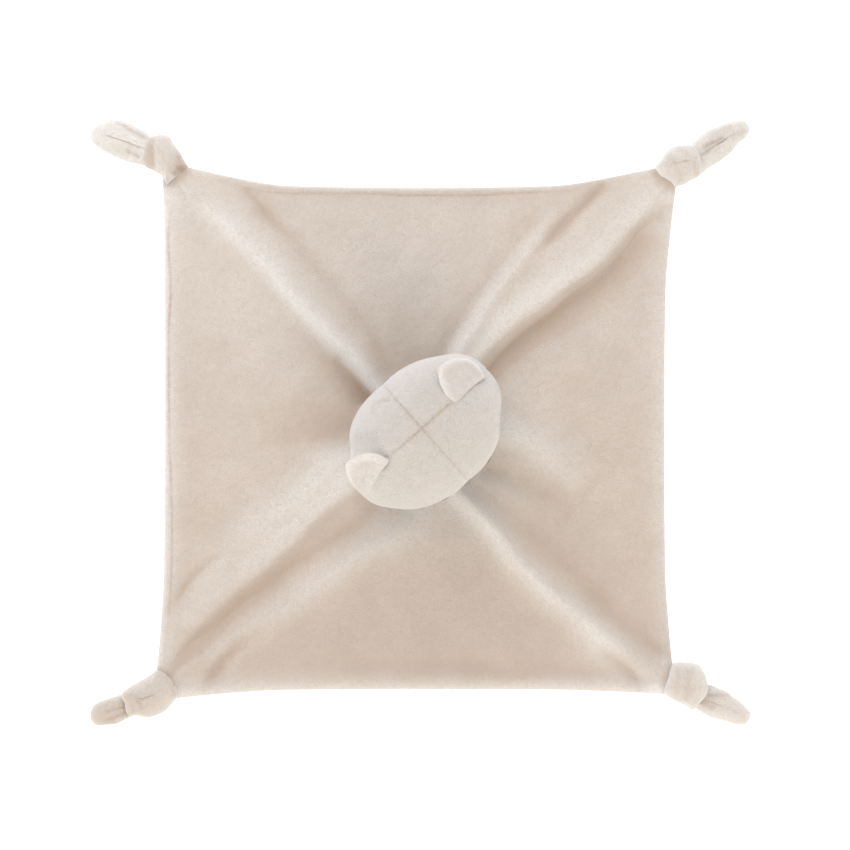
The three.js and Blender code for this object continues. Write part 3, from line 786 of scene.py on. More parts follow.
def cornerGather(x, y):
    # radial pleats about each knot: a cosine of the angle that fades with distance
    height = 0 * x
    wide, narrow = blanket["knotPleats"]
    for k, name in enumerate(clothCorners):
        offX, offY = x - knotMiddle(name)[0], y - knotMiddle(name)[1]
        distance, angle = np.hypot(offX, offY), np.arctan2(offY, offX)
        pleats = np.cos(wide * angle + blanket["knotPleatTurn"] * k) + np.cos(narrow * angle + k) / 2
        fade = smoothstep(distance, *blanket["knotPleatFrom"]) * np.exp(-distance / blanket["knotPleatReach"])
        height += blanket["knotPleatHeight"] * pleats * fade
        height += blanket["cornerLift"] * (1 - smoothstep(distance, 0, blanket["cornerLiftReach"]))
    return height


def neckPleat(angle):
    # pleats about the neck, closer together on some sides
    return np.cos(blanket["neckPleats"] * angle + 2 * np.sin(3 * angle))


def underHead(x, y):
    # the height of the head's underside over the blanket: an ellipsoid's lower half
    offX, offY = x - blanket["neckX"], y - blanket["neckY"]
    sideways = (offX * math.cos(headTurn) + offY * math.sin(headTurn)) / blanket["headRoomWide"]
    backwards = offY * math.cos(headTurn) - offX * math.sin(headTurn) - head["crownBack"]
    backwards /= blanket["headRoomDeep"]
    return head["middle"] - head["lower"] * np.sqrt(np.clip(1 - sideways ** 2 - backwards ** 2, 0, 1))


def rolledShare(inside):
    # a quarter circle that takes the cloth down to the seam at its edge
    return np.sqrt(1 - np.clip(1 - inside / blanket["rolledEdge"], 0, 1) ** 2)


# Painted light and shade on the upper layer. Each share says how much paler or darker it is painted.

pile = dict(
    towards=(-0.85, 0.53),      # painted paler on slopes that face this way, as if lit from there, and darker on those that face away
    slopeShading=0.85,
    slopeLimits=(-0.35, 0.7),
    slopeFrom=(6, 22),          # in from the edge
    foldShading=0.11,             # painted highlight on ridges and painted shade in valleys, for each mm of a fold's height
    rims=[(0.8, 8), (0.5, 8), (0.1, 4), (0.8, 8)],      # painted highlight along the left, right, upper and lower edge: how pale and how far in
    cornerShare=0.45,
    cornerReach=34,
    shadeBesideKnots=(12, 19),       # painted shade beside the knots, full out to the first distance, and none from the second
    patches=[(0.45, 20, (112, -124)), (0.15, 14, (84, -92)), (0.15, 18, (-60, -78))],
    lowerShare=0.33,            # the lower half is darker
    lowerBetween=(10, 140),
    upperShare=0.24,            # and the upper one paler, less so at the right
    upperBetween=(-10, 110),
    upperRightLoss=0.6,
    upperRightBetween=(10, 90),
    headShadowFill=0.5,         # painted light in front of the face, over the head's shadow
    belowHeadTurn=-1,           # radians
    belowHeadBetween=(36, 95),
    headHollowShade=0.14,       # and painted shade in the hollows on the head's other sides
    behindHeadBetween=(34, 110),
    behindHeadFolds=(-6, 4),
)


def aboutNeck(x, y):
    # distance from the neck, and the angle round it
    offX, offY = x - blanket["neckX"], y - blanket["neckY"]
    return np.hypot(offX, offY), np.arctan2(offY, offX)


def paintedPileShading(x, y, folds, held, edges):
    # painted light and shade, from 1 palest to -1 darkest: paler on ridges, edges, corners and patches, in front of
    # the face and towards the upper edge, darker in valleys, beside the knots, in the hollows by the head and lower
    # down
    radius, angle = aboutNeck(x, y)
    rim = sum(share * bump(away, 0, reach) for (share, reach), away in zip(pile["rims"], edges))
    corners = sum(bump(np.hypot(x - atX, y - atY), 0, pile["cornerReach"]) for atX, atY in clothCorners.values())
    shadeBesideKnots = sum(1 - smoothstep(np.hypot(x - place[0], y - place[1]), *pile["shadeBesideKnots"])
                      for place in map(knotMiddle, clothCorners))
    patches = sum(share * bump(np.hypot(x - atX, y - atY), 0, wide) for share, wide, (atX, atY) in pile["patches"])
    below = 0.5 + 0.5 * np.cos(angle - pile["belowHeadTurn"])
    upper = (pile["upperShare"] * smoothstep(y, *pile["upperBetween"]) * held
             * (1 - pile["upperRightLoss"] * smoothstep(x, *pile["upperRightBetween"])))
    paintedPaleness = (pile["foldShading"] * folds + rim + patches + pile["cornerShare"] * corners
                - pile["lowerShare"] * smoothstep(-y, *pile["lowerBetween"]) + upper
                + pile["headShadowFill"] * below * (1 - smoothstep(radius, *pile["belowHeadBetween"])))
    paintedHeadShade = (pile["headHollowShade"] * (1 - smoothstep(radius, *pile["behindHeadBetween"]))
                * smoothstep(-folds, *pile["behindHeadFolds"]) * (1 - below))
    return np.clip(paintedPaleness - paintedHeadShade - shadeBesideKnots, -1, 1)


def paintedSlopeShading(x, y, z, inside):
    # painted shade on slopes that face away from the upper left, and painted light on those that face it
    rise = np.stack([np.gradient(z, axis=1) / np.gradient(x, axis=1),
                     np.gradient(z, axis=0) / np.gradient(y, axis=0)])
    facingAway = np.clip(np.einsum("i,ikl->kl", pile["towards"], rise), *pile["slopeLimits"])
    return pile["slopeShading"] * facingAway * smoothstep(inside, *pile["slopeFrom"])


def topLayer(x, y, edges):
    # a tent, the folds, soft unevenness, the hems and the knots' lift; it all rolls down to the seam at the edge.
    # The results are the height, the painted light and shade, and the painted brown shade in the sewn lines and
    # trough.
    inside = np.min(edges, axis=0)
    flat = flatPlace(x, y)
    radius, angle = aboutNeck(x, y)
    tent = blanket["tentHeight"] * (1 - smoothstep(radius, 0, blanket["tentReach"]))
    wanderX = x + noiseLayers(flat, blanket["wanderX"])
    wanderY = y + noiseLayers(flat, blanket["wanderY"])
    folds = sum(strokeHeight(wanderX, wanderY, stroke) for stroke in foldStrokes)
    held = smoothstep(inside, blanket["heldFrom"], blanket["heldTo"])
    pleats = blanket["neckPleatHeight"] * neckPleat(angle) * np.exp(
        -np.maximum(radius - blanket["neckPleatFrom"], 0) / blanket["neckPleatReach"])
    uneven = noiseLayers(flat, blanket["roughness"]) * mix(blanket["heldRoughness"], 1, held)
    hem, sewn = hemHeight(x, y, *edges)
    proud = tent + folds * mix(blanket["heldFold"], 1, held) + pleats + uneven + noiseLayers(flat, blanket["nap"])
    proud += hem + puckerHeight(x, y, inside)
    proud = np.maximum(proud, blanket["valleyShare"] * proud + blanket["valleyFloor"])
    full = blanket["topAtEdge"] - blanket["seamHeight"] + proud
    slope = blanket["clearanceSlope"] * np.minimum(radius, blanket["clearanceReach"])
    full = np.minimum(full, underHead(x, y) - blanket["headClearance"] - slope - blanket["seamHeight"])
    z = blanket["seamHeight"] + full * rolledShare(inside) + cornerGather(x, y)
    # painted light and shade from the folds, edges and head, and by the way each slope faces
    paintedTone = paintedPileShading(x, y, folds, held, edges) - paintedSlopeShading(x, y, z, inside)
    return z, np.clip(paintedTone, -1, 1), sewn


def crowdedShares(cells):
    # from -1 to 1 in steps that shrink towards both ends
    middle = (np.arange(cells) + 0.5) / cells * 2 - 1
    width = 1 - blanket["edgeCrowding"] * np.exp(-(1 - np.abs(middle)) / blanket["crowdingReach"])
    place = np.concatenate([[0], np.cumsum(width)])
    return place / place[-1] * 2 - 1


def clothGrid(cells):
    # places of a square grid of points and their distances to the four edges
    shares = crowdedShares(cells)
    u, v = np.meshgrid(shares, shares)
    place = clothPlace(u, v)
    edges = ((1 + u) * blanket["halfWidth"], (1 - u) * blanket["halfWidth"],
             (1 - v) * blanket["halfDepth"], (1 + v) * blanket["halfDepth"])
    return place[..., 0], place[..., 1], edges


def rimNumbers(rows, columns, start):
    # point numbers once round the edge of a grid
    numbers = np.arange(rows * columns).reshape(rows, columns) + start
    return np.concatenate([numbers[0, :-1], numbers[:-1, -1], numbers[-1, :0:-1], numbers[:0:-1, 0]])


def gridQuads(rows, columns, start):
    numbers = np.arange(rows * columns).reshape(rows, columns) + start
    corners = [numbers[:-1, :-1], numbers[:-1, 1:], numbers[1:, 1:], numbers[1:, :-1]]
    return np.stack(corners, axis=-1).reshape(-1, 4)


def closedSheet(name, fine, coarse, material, **marks):
    # a fine grid on the side that shows and a coarse one behind it, sewn together by a strip of triangles, so
    # that each coarse step along the rim meets a few fine ones
    fineRows, coarseRows = fine.shape[0], coarse.shape[0]
    ratio = (fineRows - 1) // (coarseRows - 1)
    points = np.vstack([fine.reshape(-1, 3), coarse.reshape(-1, 3)])
    start = fineRows ** 2
    fineRim, coarseRim = rimNumbers(fineRows, fineRows, 0), rimNumbers(coarseRows, coarseRows, start)
    nextFine, nextCoarse = np.roll(fineRim, -1), np.roll(coarseRim, -1)
    owner = np.arange(len(fineRim)) // ratio
    fans = np.stack([fineRim, coarseRim[owner], nextFine], axis=-1)
    bridges = np.stack([coarseRim, nextCoarse, nextFine[ratio - 1::ratio]], axis=-1)
    faces = [gridQuads(fineRows, fineRows, 0), gridQuads(coarseRows, coarseRows, start)[:, ::-1],
             np.vstack([fans, bridges])]
    return addMesh(name, points, faces, material, **marks)


def addTopLayer():
    x, y, edges = clothGrid(blanket["topCells"])
    z, paintedTone, sewn = topLayer(x, y, edges)
    drop = blanket["clothThickness"] * smoothstep(np.min(edges, axis=0), 0, blanket["rolledEdge"])
    step = blanket["topCells"] // blanket["underCells"]
    behind = np.stack([x, y, z - drop], axis=-1)[::step, ::step]
    rim = np.zeros(behind.shape[:2], bool)
    rim[[0, -1]] = rim[:, [0, -1]] = True
    behind[..., 2] -= np.where(rim, blanket["seamGap"], 0)
    return closedSheet("blanketTopLayer", np.stack([x, y, z], axis=-1), behind, plush, brushed=paintedTone, sewn=sewn)


def addUnderLayer():
    # flat where it lies, and it rolls up to the same seam; the knots lift its corners
    x, y, edges = clothGrid(blanket["underCells"] * 2)
    inside = np.min(edges, axis=0)
    lift = np.maximum(cornerGather(x, y), 0)
    under = (blanket["seamHeight"] - blanket["underDrop"]) * (1 - rolledShare(inside)) + lift
    thick = np.minimum(blanket["clothThickness"], blanket["underThinning"] * blanket["seamHeight"])
    above = thick * smoothstep(inside, 0, blanket["underRim"])
    inner = np.stack([x, y, under + above], axis=-1)[::2, ::2]
    return closedSheet("blanketBottomLayer", np.stack([x, y, under], axis=-1), inner, plush)


blanketTop, blanketBottom = addTopLayer(), addUnderLayer()
print("blanket layers made")


# Edge seam: small stitches in the groove between the layers, one run to a side. Sizes are in mm.

edgeStitches = dict(
    length=2.6,
    thick=0.7,
    pitch=3.4,
    runShare=0.9,       # of the side, from its middle to the last stitch
    inset=0.35,         # from the side's line
    drop=0.2,           # below the seam's height
)


def addEdgeStitches(name, first, second, across, rest):
    # stitches at even shares of the side's line, each lying along it
    count = int(2 * blanket["halfWidth"] / edgeStitches["pitch"])
    share = np.linspace(-edgeStitches["runShare"], edgeStitches["runShare"], count)
    line = sideLine(first, second, share, across, rest)
    line[:, across] -= np.sign(rest) * edgeStitches["inset"]
    lift = np.maximum(cornerGather(line[:, 0], line[:, 1]), 0)
    middles = np.column_stack([line, blanket["seamHeight"] - edgeStitches["drop"] + lift])
    along = unit(np.gradient(middles, axis=0))
    side = unit(np.cross([0, 0, 1], along))
    body, faces = stitchBody(edgeStitches["length"], edgeStitches["thick"])
    points, faces = copies(body, faces, middles, np.stack([along, side, np.cross(along, side)], axis=1))
    return addMesh(name, points, faces, seamThread)


edgeRuns = {}
for side, first, second, across, rest in (
    ("upper", "upper_left", "upper_right", 1, blanket["halfDepth"]),
    ("right", "lower_right", "upper_right", 0, blanket["halfWidth"]),
    ("lower", "lower_left", "lower_right", 1, -blanket["halfDepth"]),
    ("left", "lower_left", "upper_left", 0, -blanket["halfWidth"]),
):
    edgeRuns[side] = addEdgeStitches(side + "EdgeStitches", first, second, across, rest)
print("edge stitches made")


# Knots and tails, each a soft body inside the outline that it shows from above. Places are in mm on the blanket.
# level is the height of its widest part, above and below its half thicknesses there.

knotSettings = dict(rings=90, around=260, fullness=2.4, pleat=0.22, relief=0.75)
tailSettings = dict(rings=80, around=260, fullness=2.1, pleat=0.25, relief=0.5)


def crease(*line, deep=2, wide=0.9, edge=1.4, starts=0.3):
    return fold(*line, height=(-deep, -deep), left=(wide, wide), right=(wide, wide), edge=edge, starts=starts,
                ends=1)


def swelling(*line, tall=2, left=4, right=4, edge=2, starts=0.3):
    return fold(*line, height=(tall, tall), left=(left, left), right=(right, right), edge=edge, starts=starts,
                ends=1)


knotShapes = dict(
    upper_left=dict(
        outline=[(-157.1, 179.8), (-154.1, 180.3), (-151.1, 181.1), (-148.7, 181), (-146, 179.7), (-144.5, 177.4),
                 (-142.8, 174.4), (-140.4, 171.5), (-138.6, 167.9), (-136.8, 164.9), (-135.3, 162.5),
                 (-135.6, 159.8), (-138.6, 157.7), (-142.2, 156), (-145.1, 153.6), (-147.2, 151.8),
                 (-148.6, 153), (-149.9, 155.4), (-152, 158), (-156.5, 160.6), (-160, 162), (-161.8, 164.9),
                 (-161.2, 170.9), (-160, 176.2)],
        core=[(-151, 172), (-147, 162)], pale=-0.5, level=9.5, above=8.5, below=9.2,
        relief=[swelling((-149.9, 190), (-149, 174.8), (-148.5, 167), (-147.6, 146), tall=4.2, left=6.6, right=5.8,
                         edge=4),
                crease((-154.1, 181), (-154.7, 168.8), (-153.2, 159), deep=1.1, wide=0.8),
                crease((-145.5, 181), (-145.3, 168.8), (-144.4, 156), deep=0.6, wide=0.7),
                crease((-131, 164.5), (-138.2, 160.2), (-141.8, 158.2), (-143.6, 156), deep=4, wide=1.8),
                crease((-140.5, 170), (-141, 165), (-141.3, 159), deep=1.6, wide=1.5)]),
    upper_right=dict(
        outline=[(143.7, 161.9), (145.8, 165.5), (148.2, 168.5), (150.6, 171.5), (153, 173.3), (155.9, 174.6),
                 (160.1, 175), (164.3, 174.9), (167, 173.5), (169.7, 170.9), (170.9, 166.1), (171.5, 161.3),
                 (169.7, 156.6), (164.9, 154), (161.3, 152.1), (157.7, 150.9), (155.4, 150), (153, 152.4),
                 (149.4, 154.8), (145.8, 157.7)],
        core=[(152, 162.5), (163, 165)], pale=0.45, level=9.5, above=11.5, below=9.2,
        relief=[crease((150, 175), (158.5, 170.5), (165, 164), (168.8, 154), deep=1.6, wide=1.3),
                crease((146, 170), (152, 166), (157, 159), (158, 150), deep=0.9, wide=1.4),
                swelling((152, 171), (160, 168.5), (167, 166), tall=1.2, left=3, right=3)]),
    lower_right=dict(
        outline=[(153.6, -135), (155.9, -134.1), (158.9, -133.6), (163.1, -133.8), (167.3, -134.1), (170, -135.3),
                 (172, -138), (173.5, -141.5), (174.4, -145.1), (175.3, -147.5), (175, -150.5), (173.2, -154.4),
                 (169.7, -157.9), (167.9, -160.9), (164.9, -161.5), (161.9, -159.7), (158.3, -157.9),
                 (155.4, -156.6), (152.4, -154.7), (148.8, -151.7), (149.1, -147.5), (151.2, -141.5)],
        core=[(160, -143), (165, -151)], pale=0.3, level=9.5, above=13, below=9.2,
        relief=[crease((163.4, -131), (162.9, -142.5), (162, -147), (161, -158), deep=0.9, wide=1.1),
                swelling((170, -131), (169, -145), (166, -164), tall=0.9, left=4, right=5),
                crease((156.5, -131), (155.8, -143), (156, -157), deep=0.7, wide=1.2)]),
    lower_left=dict(
        outline=[(-153.8, -138), (-151.1, -138.9), (-148.1, -141), (-145.1, -143.9), (-142.8, -147.2),
                 (-141.1, -150.5), (-141, -153.5), (-143.3, -156.2), (-145.7, -159.4), (-148.7, -162.4),
                 (-152.9, -164.8), (-157.1, -166.2), (-159.4, -166.3), (-163.6, -165.4), (-167.2, -165.1),
                 (-170.2, -165.4), (-172, -162.4), (-172.6, -158.2), (-174.4, -154.7), (-174.4, -151.7),
                 (-171.4, -149.3), (-167.8, -146.9), (-163.6, -144.5), (-158.9, -141.5), (-155.9, -139.5)],
        core=[(-152, -151), (-164, -155)], pale=0.15, level=9.5, above=12.5, below=9.2,
        relief=[crease((-165.5, -150), (-163.6, -154), (-162, -156.8), (-160, -161), deep=1.2, wide=1),
                crease((-155, -137), (-148.5, -141.5), (-144, -147), (-142, -156), deep=2.4, wide=1.4),
                swelling((-168, -143), (-169, -155), (-166, -168), tall=-1.4, left=3, right=4)]),
)

tailShapes = dict(
    upper_left=dict(
        outline=[(-153.3, 178.5), (-157.5, 180.4), (-160.5, 183), (-163.5, 185.1), (-167.1, 187.2),
                 (-171.3, 189.3), (-176.1, 190.5), (-180.9, 190.8), (-185.6, 189.3), (-190.4, 186.9),
                 (-193, 184.3), (-194, 181.5), (-193.4, 178.5), (-191, 175.5), (-186.8, 172.5), (-181.4, 169.8),
                 (-176.1, 167.4), (-170.1, 165.4), (-165.3, 164.2), (-160.5, 163), (-156.9, 161.5),
                 (-153.3, 160.6), (-150.4, 164.2), (-149.8, 172.5)],
        core=[(-157, 171), (-170, 176.5), (-185, 181)], pale=0.95, level=6.2, above=7.5, below=6,
        relief=[crease((-152, 178), (-160.6, 179.2), (-164.8, 181), (-169, 183.4), (-173.2, 185.8), (-180.3, 188.5),
                       deep=3.4, wide=1),
                crease((-155, 176.2), (-164.2, 178.9), (-169, 181.6), (-173.6, 184.3), deep=1.1, wide=0.8),
                crease((-176, 180.2), (-169.6, 176), (-163.5, 171), deep=1.3, wide=1),
                crease((-172, 172.6), (-167.2, 170), (-163, 167), deep=3.6, wide=1.2),
                swelling((-183, 172.3), (-175.5, 171.5), (-168, 170.8), tall=-2, left=3.5, right=3),
                swelling((-160, 174), (-172, 178.5), (-184, 183), tall=1.2, left=3.5, right=3)]),
    upper_right=dict(
        outline=[(161.2, 166.6), (163.6, 172.5), (165.9, 175.6), (167.4, 178.2), (170.1, 180.9), (173.7, 183.6),
                 (177.3, 185.1), (180.9, 186.6), (184.5, 188.3), (188.7, 189.6), (193.5, 190.4), (197, 190.4),
                 (199.4, 188.6), (200.8, 186.3), (200.6, 183.9), (199, 181.2), (197, 179.1), (194, 176.7),
                 (191.7, 173.7), (189.9, 171.3), (186.3, 168.6), (182.7, 165.7), (177.3, 162.7), (174.3, 160.6),
                 (170.7, 157.3), (167.1, 155.8), (163.6, 159.4)],
        core=[(168, 168), (182, 176.5), (193, 183)], pale=0.8, level=6.2, above=7.2, below=6,
        relief=[crease((167.5, 170.7), (172.6, 173.1), (175.6, 174.9), (178.6, 176.2), (181.6, 177.4), (187, 181),
                       deep=4.2, wide=1.2),
                crease((169, 167.2), (174.4, 170.4), (178, 171.9), (184, 174.3), deep=1.8, wide=1),
                swelling((174, 178.4), (182.2, 182.3), (191, 186), tall=-2.2, left=2.4, right=2.4),
                crease((187, 177.6), (192.9, 181.3), (198, 184.6), deep=1.8, wide=1.3),
                crease((170, 158.6), (179.2, 165.2), (186.4, 170.4), (192.4, 176.4), deep=0.9, wide=1.2)]),
    lower_right=dict(
        outline=[(170.7, -148), (176.1, -147.4), (179.1, -148), (182.7, -149.8), (186.9, -151.5), (189.9, -153.6),
                 (194, -156.9), (197.6, -159.9), (200.8, -162.9), (201.6, -165.3), (200.4, -168.6),
                 (198, -170.8), (194.6, -171.2), (191.7, -170.9), (186.9, -169.4), (181.5, -168), (176.7, -166.5),
                 (171.9, -163.8), (168.9, -162), (165.9, -158.1), (167.7, -151.5)],
        core=[(172, -155), (182, -159), (194, -164)], pale=0.65, level=6, above=6.6, below=5.8,
        relief=[crease((172, -151.2), (176.2, -152.3), (179.8, -153.2), (183.4, -153.6), (191, -153.8), deep=2.8,
                       wide=1),
                crease((169.5, -152.6), (173.2, -156), (175.6, -157.6), (180.3, -161), deep=3, wide=1.3),
                crease((175, -159), (181, -160.5), (188, -161.6), deep=1.1, wide=1)]),
    lower_left=dict(
        outline=[(-170.7, -150.4), (-175.2, -152.7), (-179.7, -154.5), (-183.8, -155.7), (-188, -157.2),
                 (-191.6, -159.6), (-193.4, -162.9), (-193.9, -165.9), (-192.9, -169), (-190.6, -171.3),
                 (-188, -171.7), (-183.8, -171.5), (-178.5, -170.8), (-174.9, -169.2), (-170.7, -166.8),
                 (-166.5, -164.7), (-164.1, -158.7), (-165.9, -152.7)],
        core=[(-170, -159), (-180, -162), (-188, -164.5)], pale=0.05, level=6, above=6.8, below=5.8,
        relief=[crease((-189, -169), (-182.7, -167.3), (-179.1, -166), (-175.5, -164.2), (-169, -161.8), deep=2.6,
                       wide=1.1),
                crease((-185.5, -163.8), (-180.3, -161.5), (-174, -158.7), deep=1.2, wide=1),
                crease((-174.5, -152.5), (-173, -158), (-172, -161), (-170.5, -166), deep=2.4, wide=1.6)]),
)


# The cloth of knots and tails, in mm. rise is the share of the way up a soft body and reach of the way out.
softCloth = dict(
    shownRise=0.45,         # where relief and pleats are full
    pleats=17,              # once round the knot's middle
    pleatWander=[(2, 6, 61)],
    pleatAway=15,           # from the knot's middle, and half the width of the band
    pleatBand=11,
    roughness=[(0.4, 8, 62), (0.22, 3.2, 63)],
    roughRise=(-0.5, 0.3),
    lowest=0.15,
    # painted highlight at the rims and on the relief's swellings, and painted shade in its creases
    rimHighlight=0.4,
    reliefShading=0.3,
    mostCreaseShade=0.4,           # how brown the painted shade in the darkest creases gets
)


def addSoftBody(name, shape, settings, middle, phase):
    # the upper side takes the relief and pleats that fan out from the knot's middle; the lower side lies flat
    plan, reach, rise = pillow(shape["outline"], shape["core"], settings["rings"], settings["around"],
                               settings["fullness"])
    x, y = plan[..., 0], plan[..., 1]
    away = np.hypot(x - middle[0], y - middle[1])
    fan = np.arctan2(y - middle[1], x - middle[0])
    shown = smoothstep(rise, 0, softCloth["shownRise"])
    z = shape["level"] + rise * np.where(rise > 0, shape["above"], shape["below"])
    relief = shown * settings["relief"] * sum(strokeHeight(x, y, stroke) for stroke in shape["relief"])
    z += relief
    wander = noiseLayers(flatPlace(x, y), softCloth["pleatWander"])
    pleats = shown * settings["pleat"] * np.cos(softCloth["pleats"] * fan + wander + phase)
    z += pleats * bump(away, softCloth["pleatAway"], softCloth["pleatBand"])
    points = np.stack([x, y, z], axis=-1)
    outwards = unit(points - np.array([*plan[0].mean(axis=0), shape["level"]]))
    rough = noiseLayers(points, softCloth["roughness"])
    points += rough[..., None] * outwards * smoothstep(rise, *softCloth["roughRise"])[..., None]
    points[..., 2] = np.maximum(points[..., 2], softCloth["lowest"])
    body, faces = loft(points)
    # each piece's own paleness, painted highlight at the rim and on swellings, painted shade in creases and painted
    # brown in the deepest
    paintedTone = shape["pale"] + softCloth["rimHighlight"] * reach ** 3 + softCloth["reliefShading"] * relief
    return addMesh(name, body, faces, plush, brushed=np.clip(paintedTone, -1, 1),
                   sewn=np.clip(-1 - paintedTone, 0, softCloth["mostCreaseShade"]))


def camel(words):
    first, *rest = words.split("_")
    return first + "".join(word.capitalize() for word in rest)


knots, tails = {}, {}
for k, corner in enumerate(clothCorners):
    name, middle = camel(corner), knotMiddle(corner)
    knots[corner] = addSoftBody(name + "Knot", knotShapes[corner], knotSettings, middle, k)
    tails[corner] = addSoftBody(name + "Tail", tailShapes[corner], tailSettings, middle, k + 2)
print("knots and tails made")


# Head, of four panels that meet in two seams across the crown

def fromHead(points):
    # the head's own place to the blanket's
    points = np.asarray(points, float)
    return (neckPlace + points[..., :1] * headAcross + points[..., 1:2] * headBackwards
            + points[..., 2:3] * np.array([0, 0, 1]))


def headSurface(turn, down, inset):
    # two half ellipsoids front and back and two heights above and below, less the inset
    deep = np.where(np.sin(turn) > 0, head["back"], head["front"]) - inset
    tall = np.where(np.cos(down) > 0, head["upper"], head["lower"]) - inset
    wide = head["halfWidth"] - inset
    return np.stack([
        wide * np.sin(down) * np.cos(turn),
        head["crownBack"] + deep * np.sin(down) * np.sin(turn),
        head["middle"] + tall * np.cos(down),
    ], axis=-1)


def seamPull(place):
    # 1 where a stitch draws the cloth into one of the two seams that cross at the crown. They pull hardest towards
    # the left ear and the back, and lie nearly closed on the other two sides and down the head's flanks.
    toEars = np.abs(place[..., 1] - head["crownBack"])
    toFace = np.abs(place[..., 0])
    along = np.where(toEars < toFace, place[..., 0], place[..., 1] - head["crownBack"])
    towards = np.where(toEars < toFace, stepBetween(along, *head["earSeamPull"]),
                       stepBetween(along, *head["faceSeamPull"]))
    shown = towards * stepBetween(place[..., 2], *head["flankSeamPull"])
    turn = 2 * math.pi * along / head["stitchPitch"] + head["stitchWander"] * np.sin(0.5 * along)
    stitches = head["stitchBase"] + head["stitchBeat"] * np.sin(turn)
    return shown * stitches * np.exp(-np.minimum(toEars, toFace) / head["seamHalfWidth"])


def tuckPull(place):
    # 1 along the small tuck at the back of the crown
    flat = place[..., :2].reshape(-1, 2)
    away = np.linalg.norm(flat - nearestOnPath(flat, head["backTuck"]), axis=-1).reshape(place.shape[:-1])
    return bump(away, 0, head["tuckHalfWidth"]) * (place[..., 2] > head["middle"])


def gorePuff(place):
    # how far the cloth stands off the plain head: drawn in at the seams, puckered beside them and full between them
    sideways, backwards = place[..., 0], place[..., 1]
    toEars, toFace = np.abs(backwards - head["crownBack"]), np.abs(sideways)
    full = head["puff"] * np.tanh(np.minimum(toEars, toFace) / head["puffReach"])
    earDepth, earCloseness = head["earSeamPucker"]
    faceDepth, faceCloseness = head["faceSeamPucker"]
    wander, wanderCloseness = head["puckerWander"]
    pucker = (earDepth * np.sin(sideways * earCloseness + wander * np.sin(backwards * wanderCloseness))
              * np.exp(-toEars / head["puckerReach"]))
    pucker += faceDepth * np.sin(backwards * faceCloseness + 1) * np.exp(-toFace / head["puckerReach"])
    pucker *= smoothstep(place[..., 2], *head["puckerHeights"])
    return full + pucker - head["seamDepth"] * seamPull(place)


def headShape(turn, down):
    # the outer surface with its puffed panels, the hollows of its flanks, and unevenness
    plain = headSurface(turn, down, 0)
    outwards = unit(plain - headSurface(turn, down, head["outwardStep"]))
    hollow = sum(depth * bump(np.degrees(turn) % 360, *place) for depth, place in head["hollows"])
    hollow = hollow * np.sin(down) ** 2
    uneven = noiseLayers(plain, head["roughness"])
    away = gorePuff(plain) + hollow + uneven - head["tuckDepth"] * tuckPull(plain)
    return plain + outwards * away[..., None], outwards


def addGore(name, startTurn):
    # a ring goes out along the outer face of a panel and back along its inner face, and the rings run from the
    # crown down to the neck
    down = np.linspace(head["highest"], head["lowest"], head["down"])[:, None]
    span = np.linspace(0, 1, head["across"])
    span = span - head["borderCrowding"] / (2 * math.pi) * np.sin(2 * math.pi * span)
    border = head["borderShare"]        # so that shading stays smooth to the border
    span = np.concatenate([[0, border], span[1:-1], [1 - border, 1]])
    turn = (startTurn + span * math.pi / 2)[None, :]
    gap = head["panelGap"] / np.maximum(head["gapRadius"] * np.sin(down), head["leastGapRadius"])
    turn = startTurn + gap + (turn - startTurn) * (1 - 2 * gap / (math.pi / 2))
    outer, outwards = headShape(turn + 0 * down, down + 0 * turn)
    inner = outer - outwards * head["cloth"] * smoothstep(down, 0, head["clothFullBy"])[..., None]
    inner -= outwards * head["clothLeast"]
    rings = np.concatenate([outer, inner[:, ::-1]], axis=1)
    body, faces = loft(fromHead(rings))
    # painted highlight round the widest ring, painted shade on the back panels, and painted brown shade along the
    # seams and in the tuck
    paintedTone = (head["rimHighlight"] * np.sin(down) ** head["rimSharpness"]
           - head["backShade"] * np.maximum(np.sin(turn), 0) * np.sin(down) ** head["backSharpness"])
    seamShadeShare, tuckShadeShare = head["sewnShadeShares"]
    sewn = np.clip(seamShadeShare * seamPull(outer) + tuckShadeShare * tuckPull(outer), 0, 1)
    paintedTone, sewn = (np.concatenate([shares, shares[:, ::-1]], axis=1) for shares in (paintedTone, sewn))
    return addMesh(name, body, faces, headPlush, brushed=paintedTone, sewn=sewn)


gores = {}
for quarter, node in enumerate(("head_back_left", "head_back_right", "head_front_right", "head_front_left")):
    gores[node] = addGore(camel(node), quarter * math.pi / 2)
print("head panels made")


filling = dict(
    clearance=2.6,      # mm inside the cloth
    highest=0.05,       # radians down from the crown
    lowestAbove=0.4,    # and short of the panels' lower end
    rings=40,
    around=64,
    neckHollow=[(0.75, 2.5), (0.45, 7), (0.2, 9)],      # shares of the last ring's width, and mm above it
    lumps=[(0.8, 7, 41)],
)


def addFilling():
    # the head's shape drawn in by the cloth and a little more, hollowed over the neck, with lumps
    down = np.linspace(filling["highest"], head["lowest"] - filling["lowestAbove"], filling["rings"])[:, None]
    turn = np.linspace(0, 2 * math.pi, filling["around"], endpoint=False)[None, :]
    rings = headSurface(turn + 0 * down, down + 0 * turn, head["cloth"] + filling["clearance"])
    hollow = [rings[-1] * [share, share, 1] + [0, 0, rise] for share, rise in filling["neckHollow"]]
    rings = np.concatenate([rings, hollow])
    lumps = noiseLayers(rings, filling["lumps"])
    rings += lumps[..., None] * unit(rings - np.array([0, 0, head["middle"]]))
    body, faces = loft(fromHead(rings))
    return addMesh("headFilling", body, faces, fibreFilling)


headFilling = addFilling()


# Ears, each of two layers sewn round the rim and into the seam that runs from ear to ear. An outline is in mm along
# the seam and up the ear, from the seat. drop is how far the seat lies inside the fold joint's line and bend the
# radius at which it follows the head.

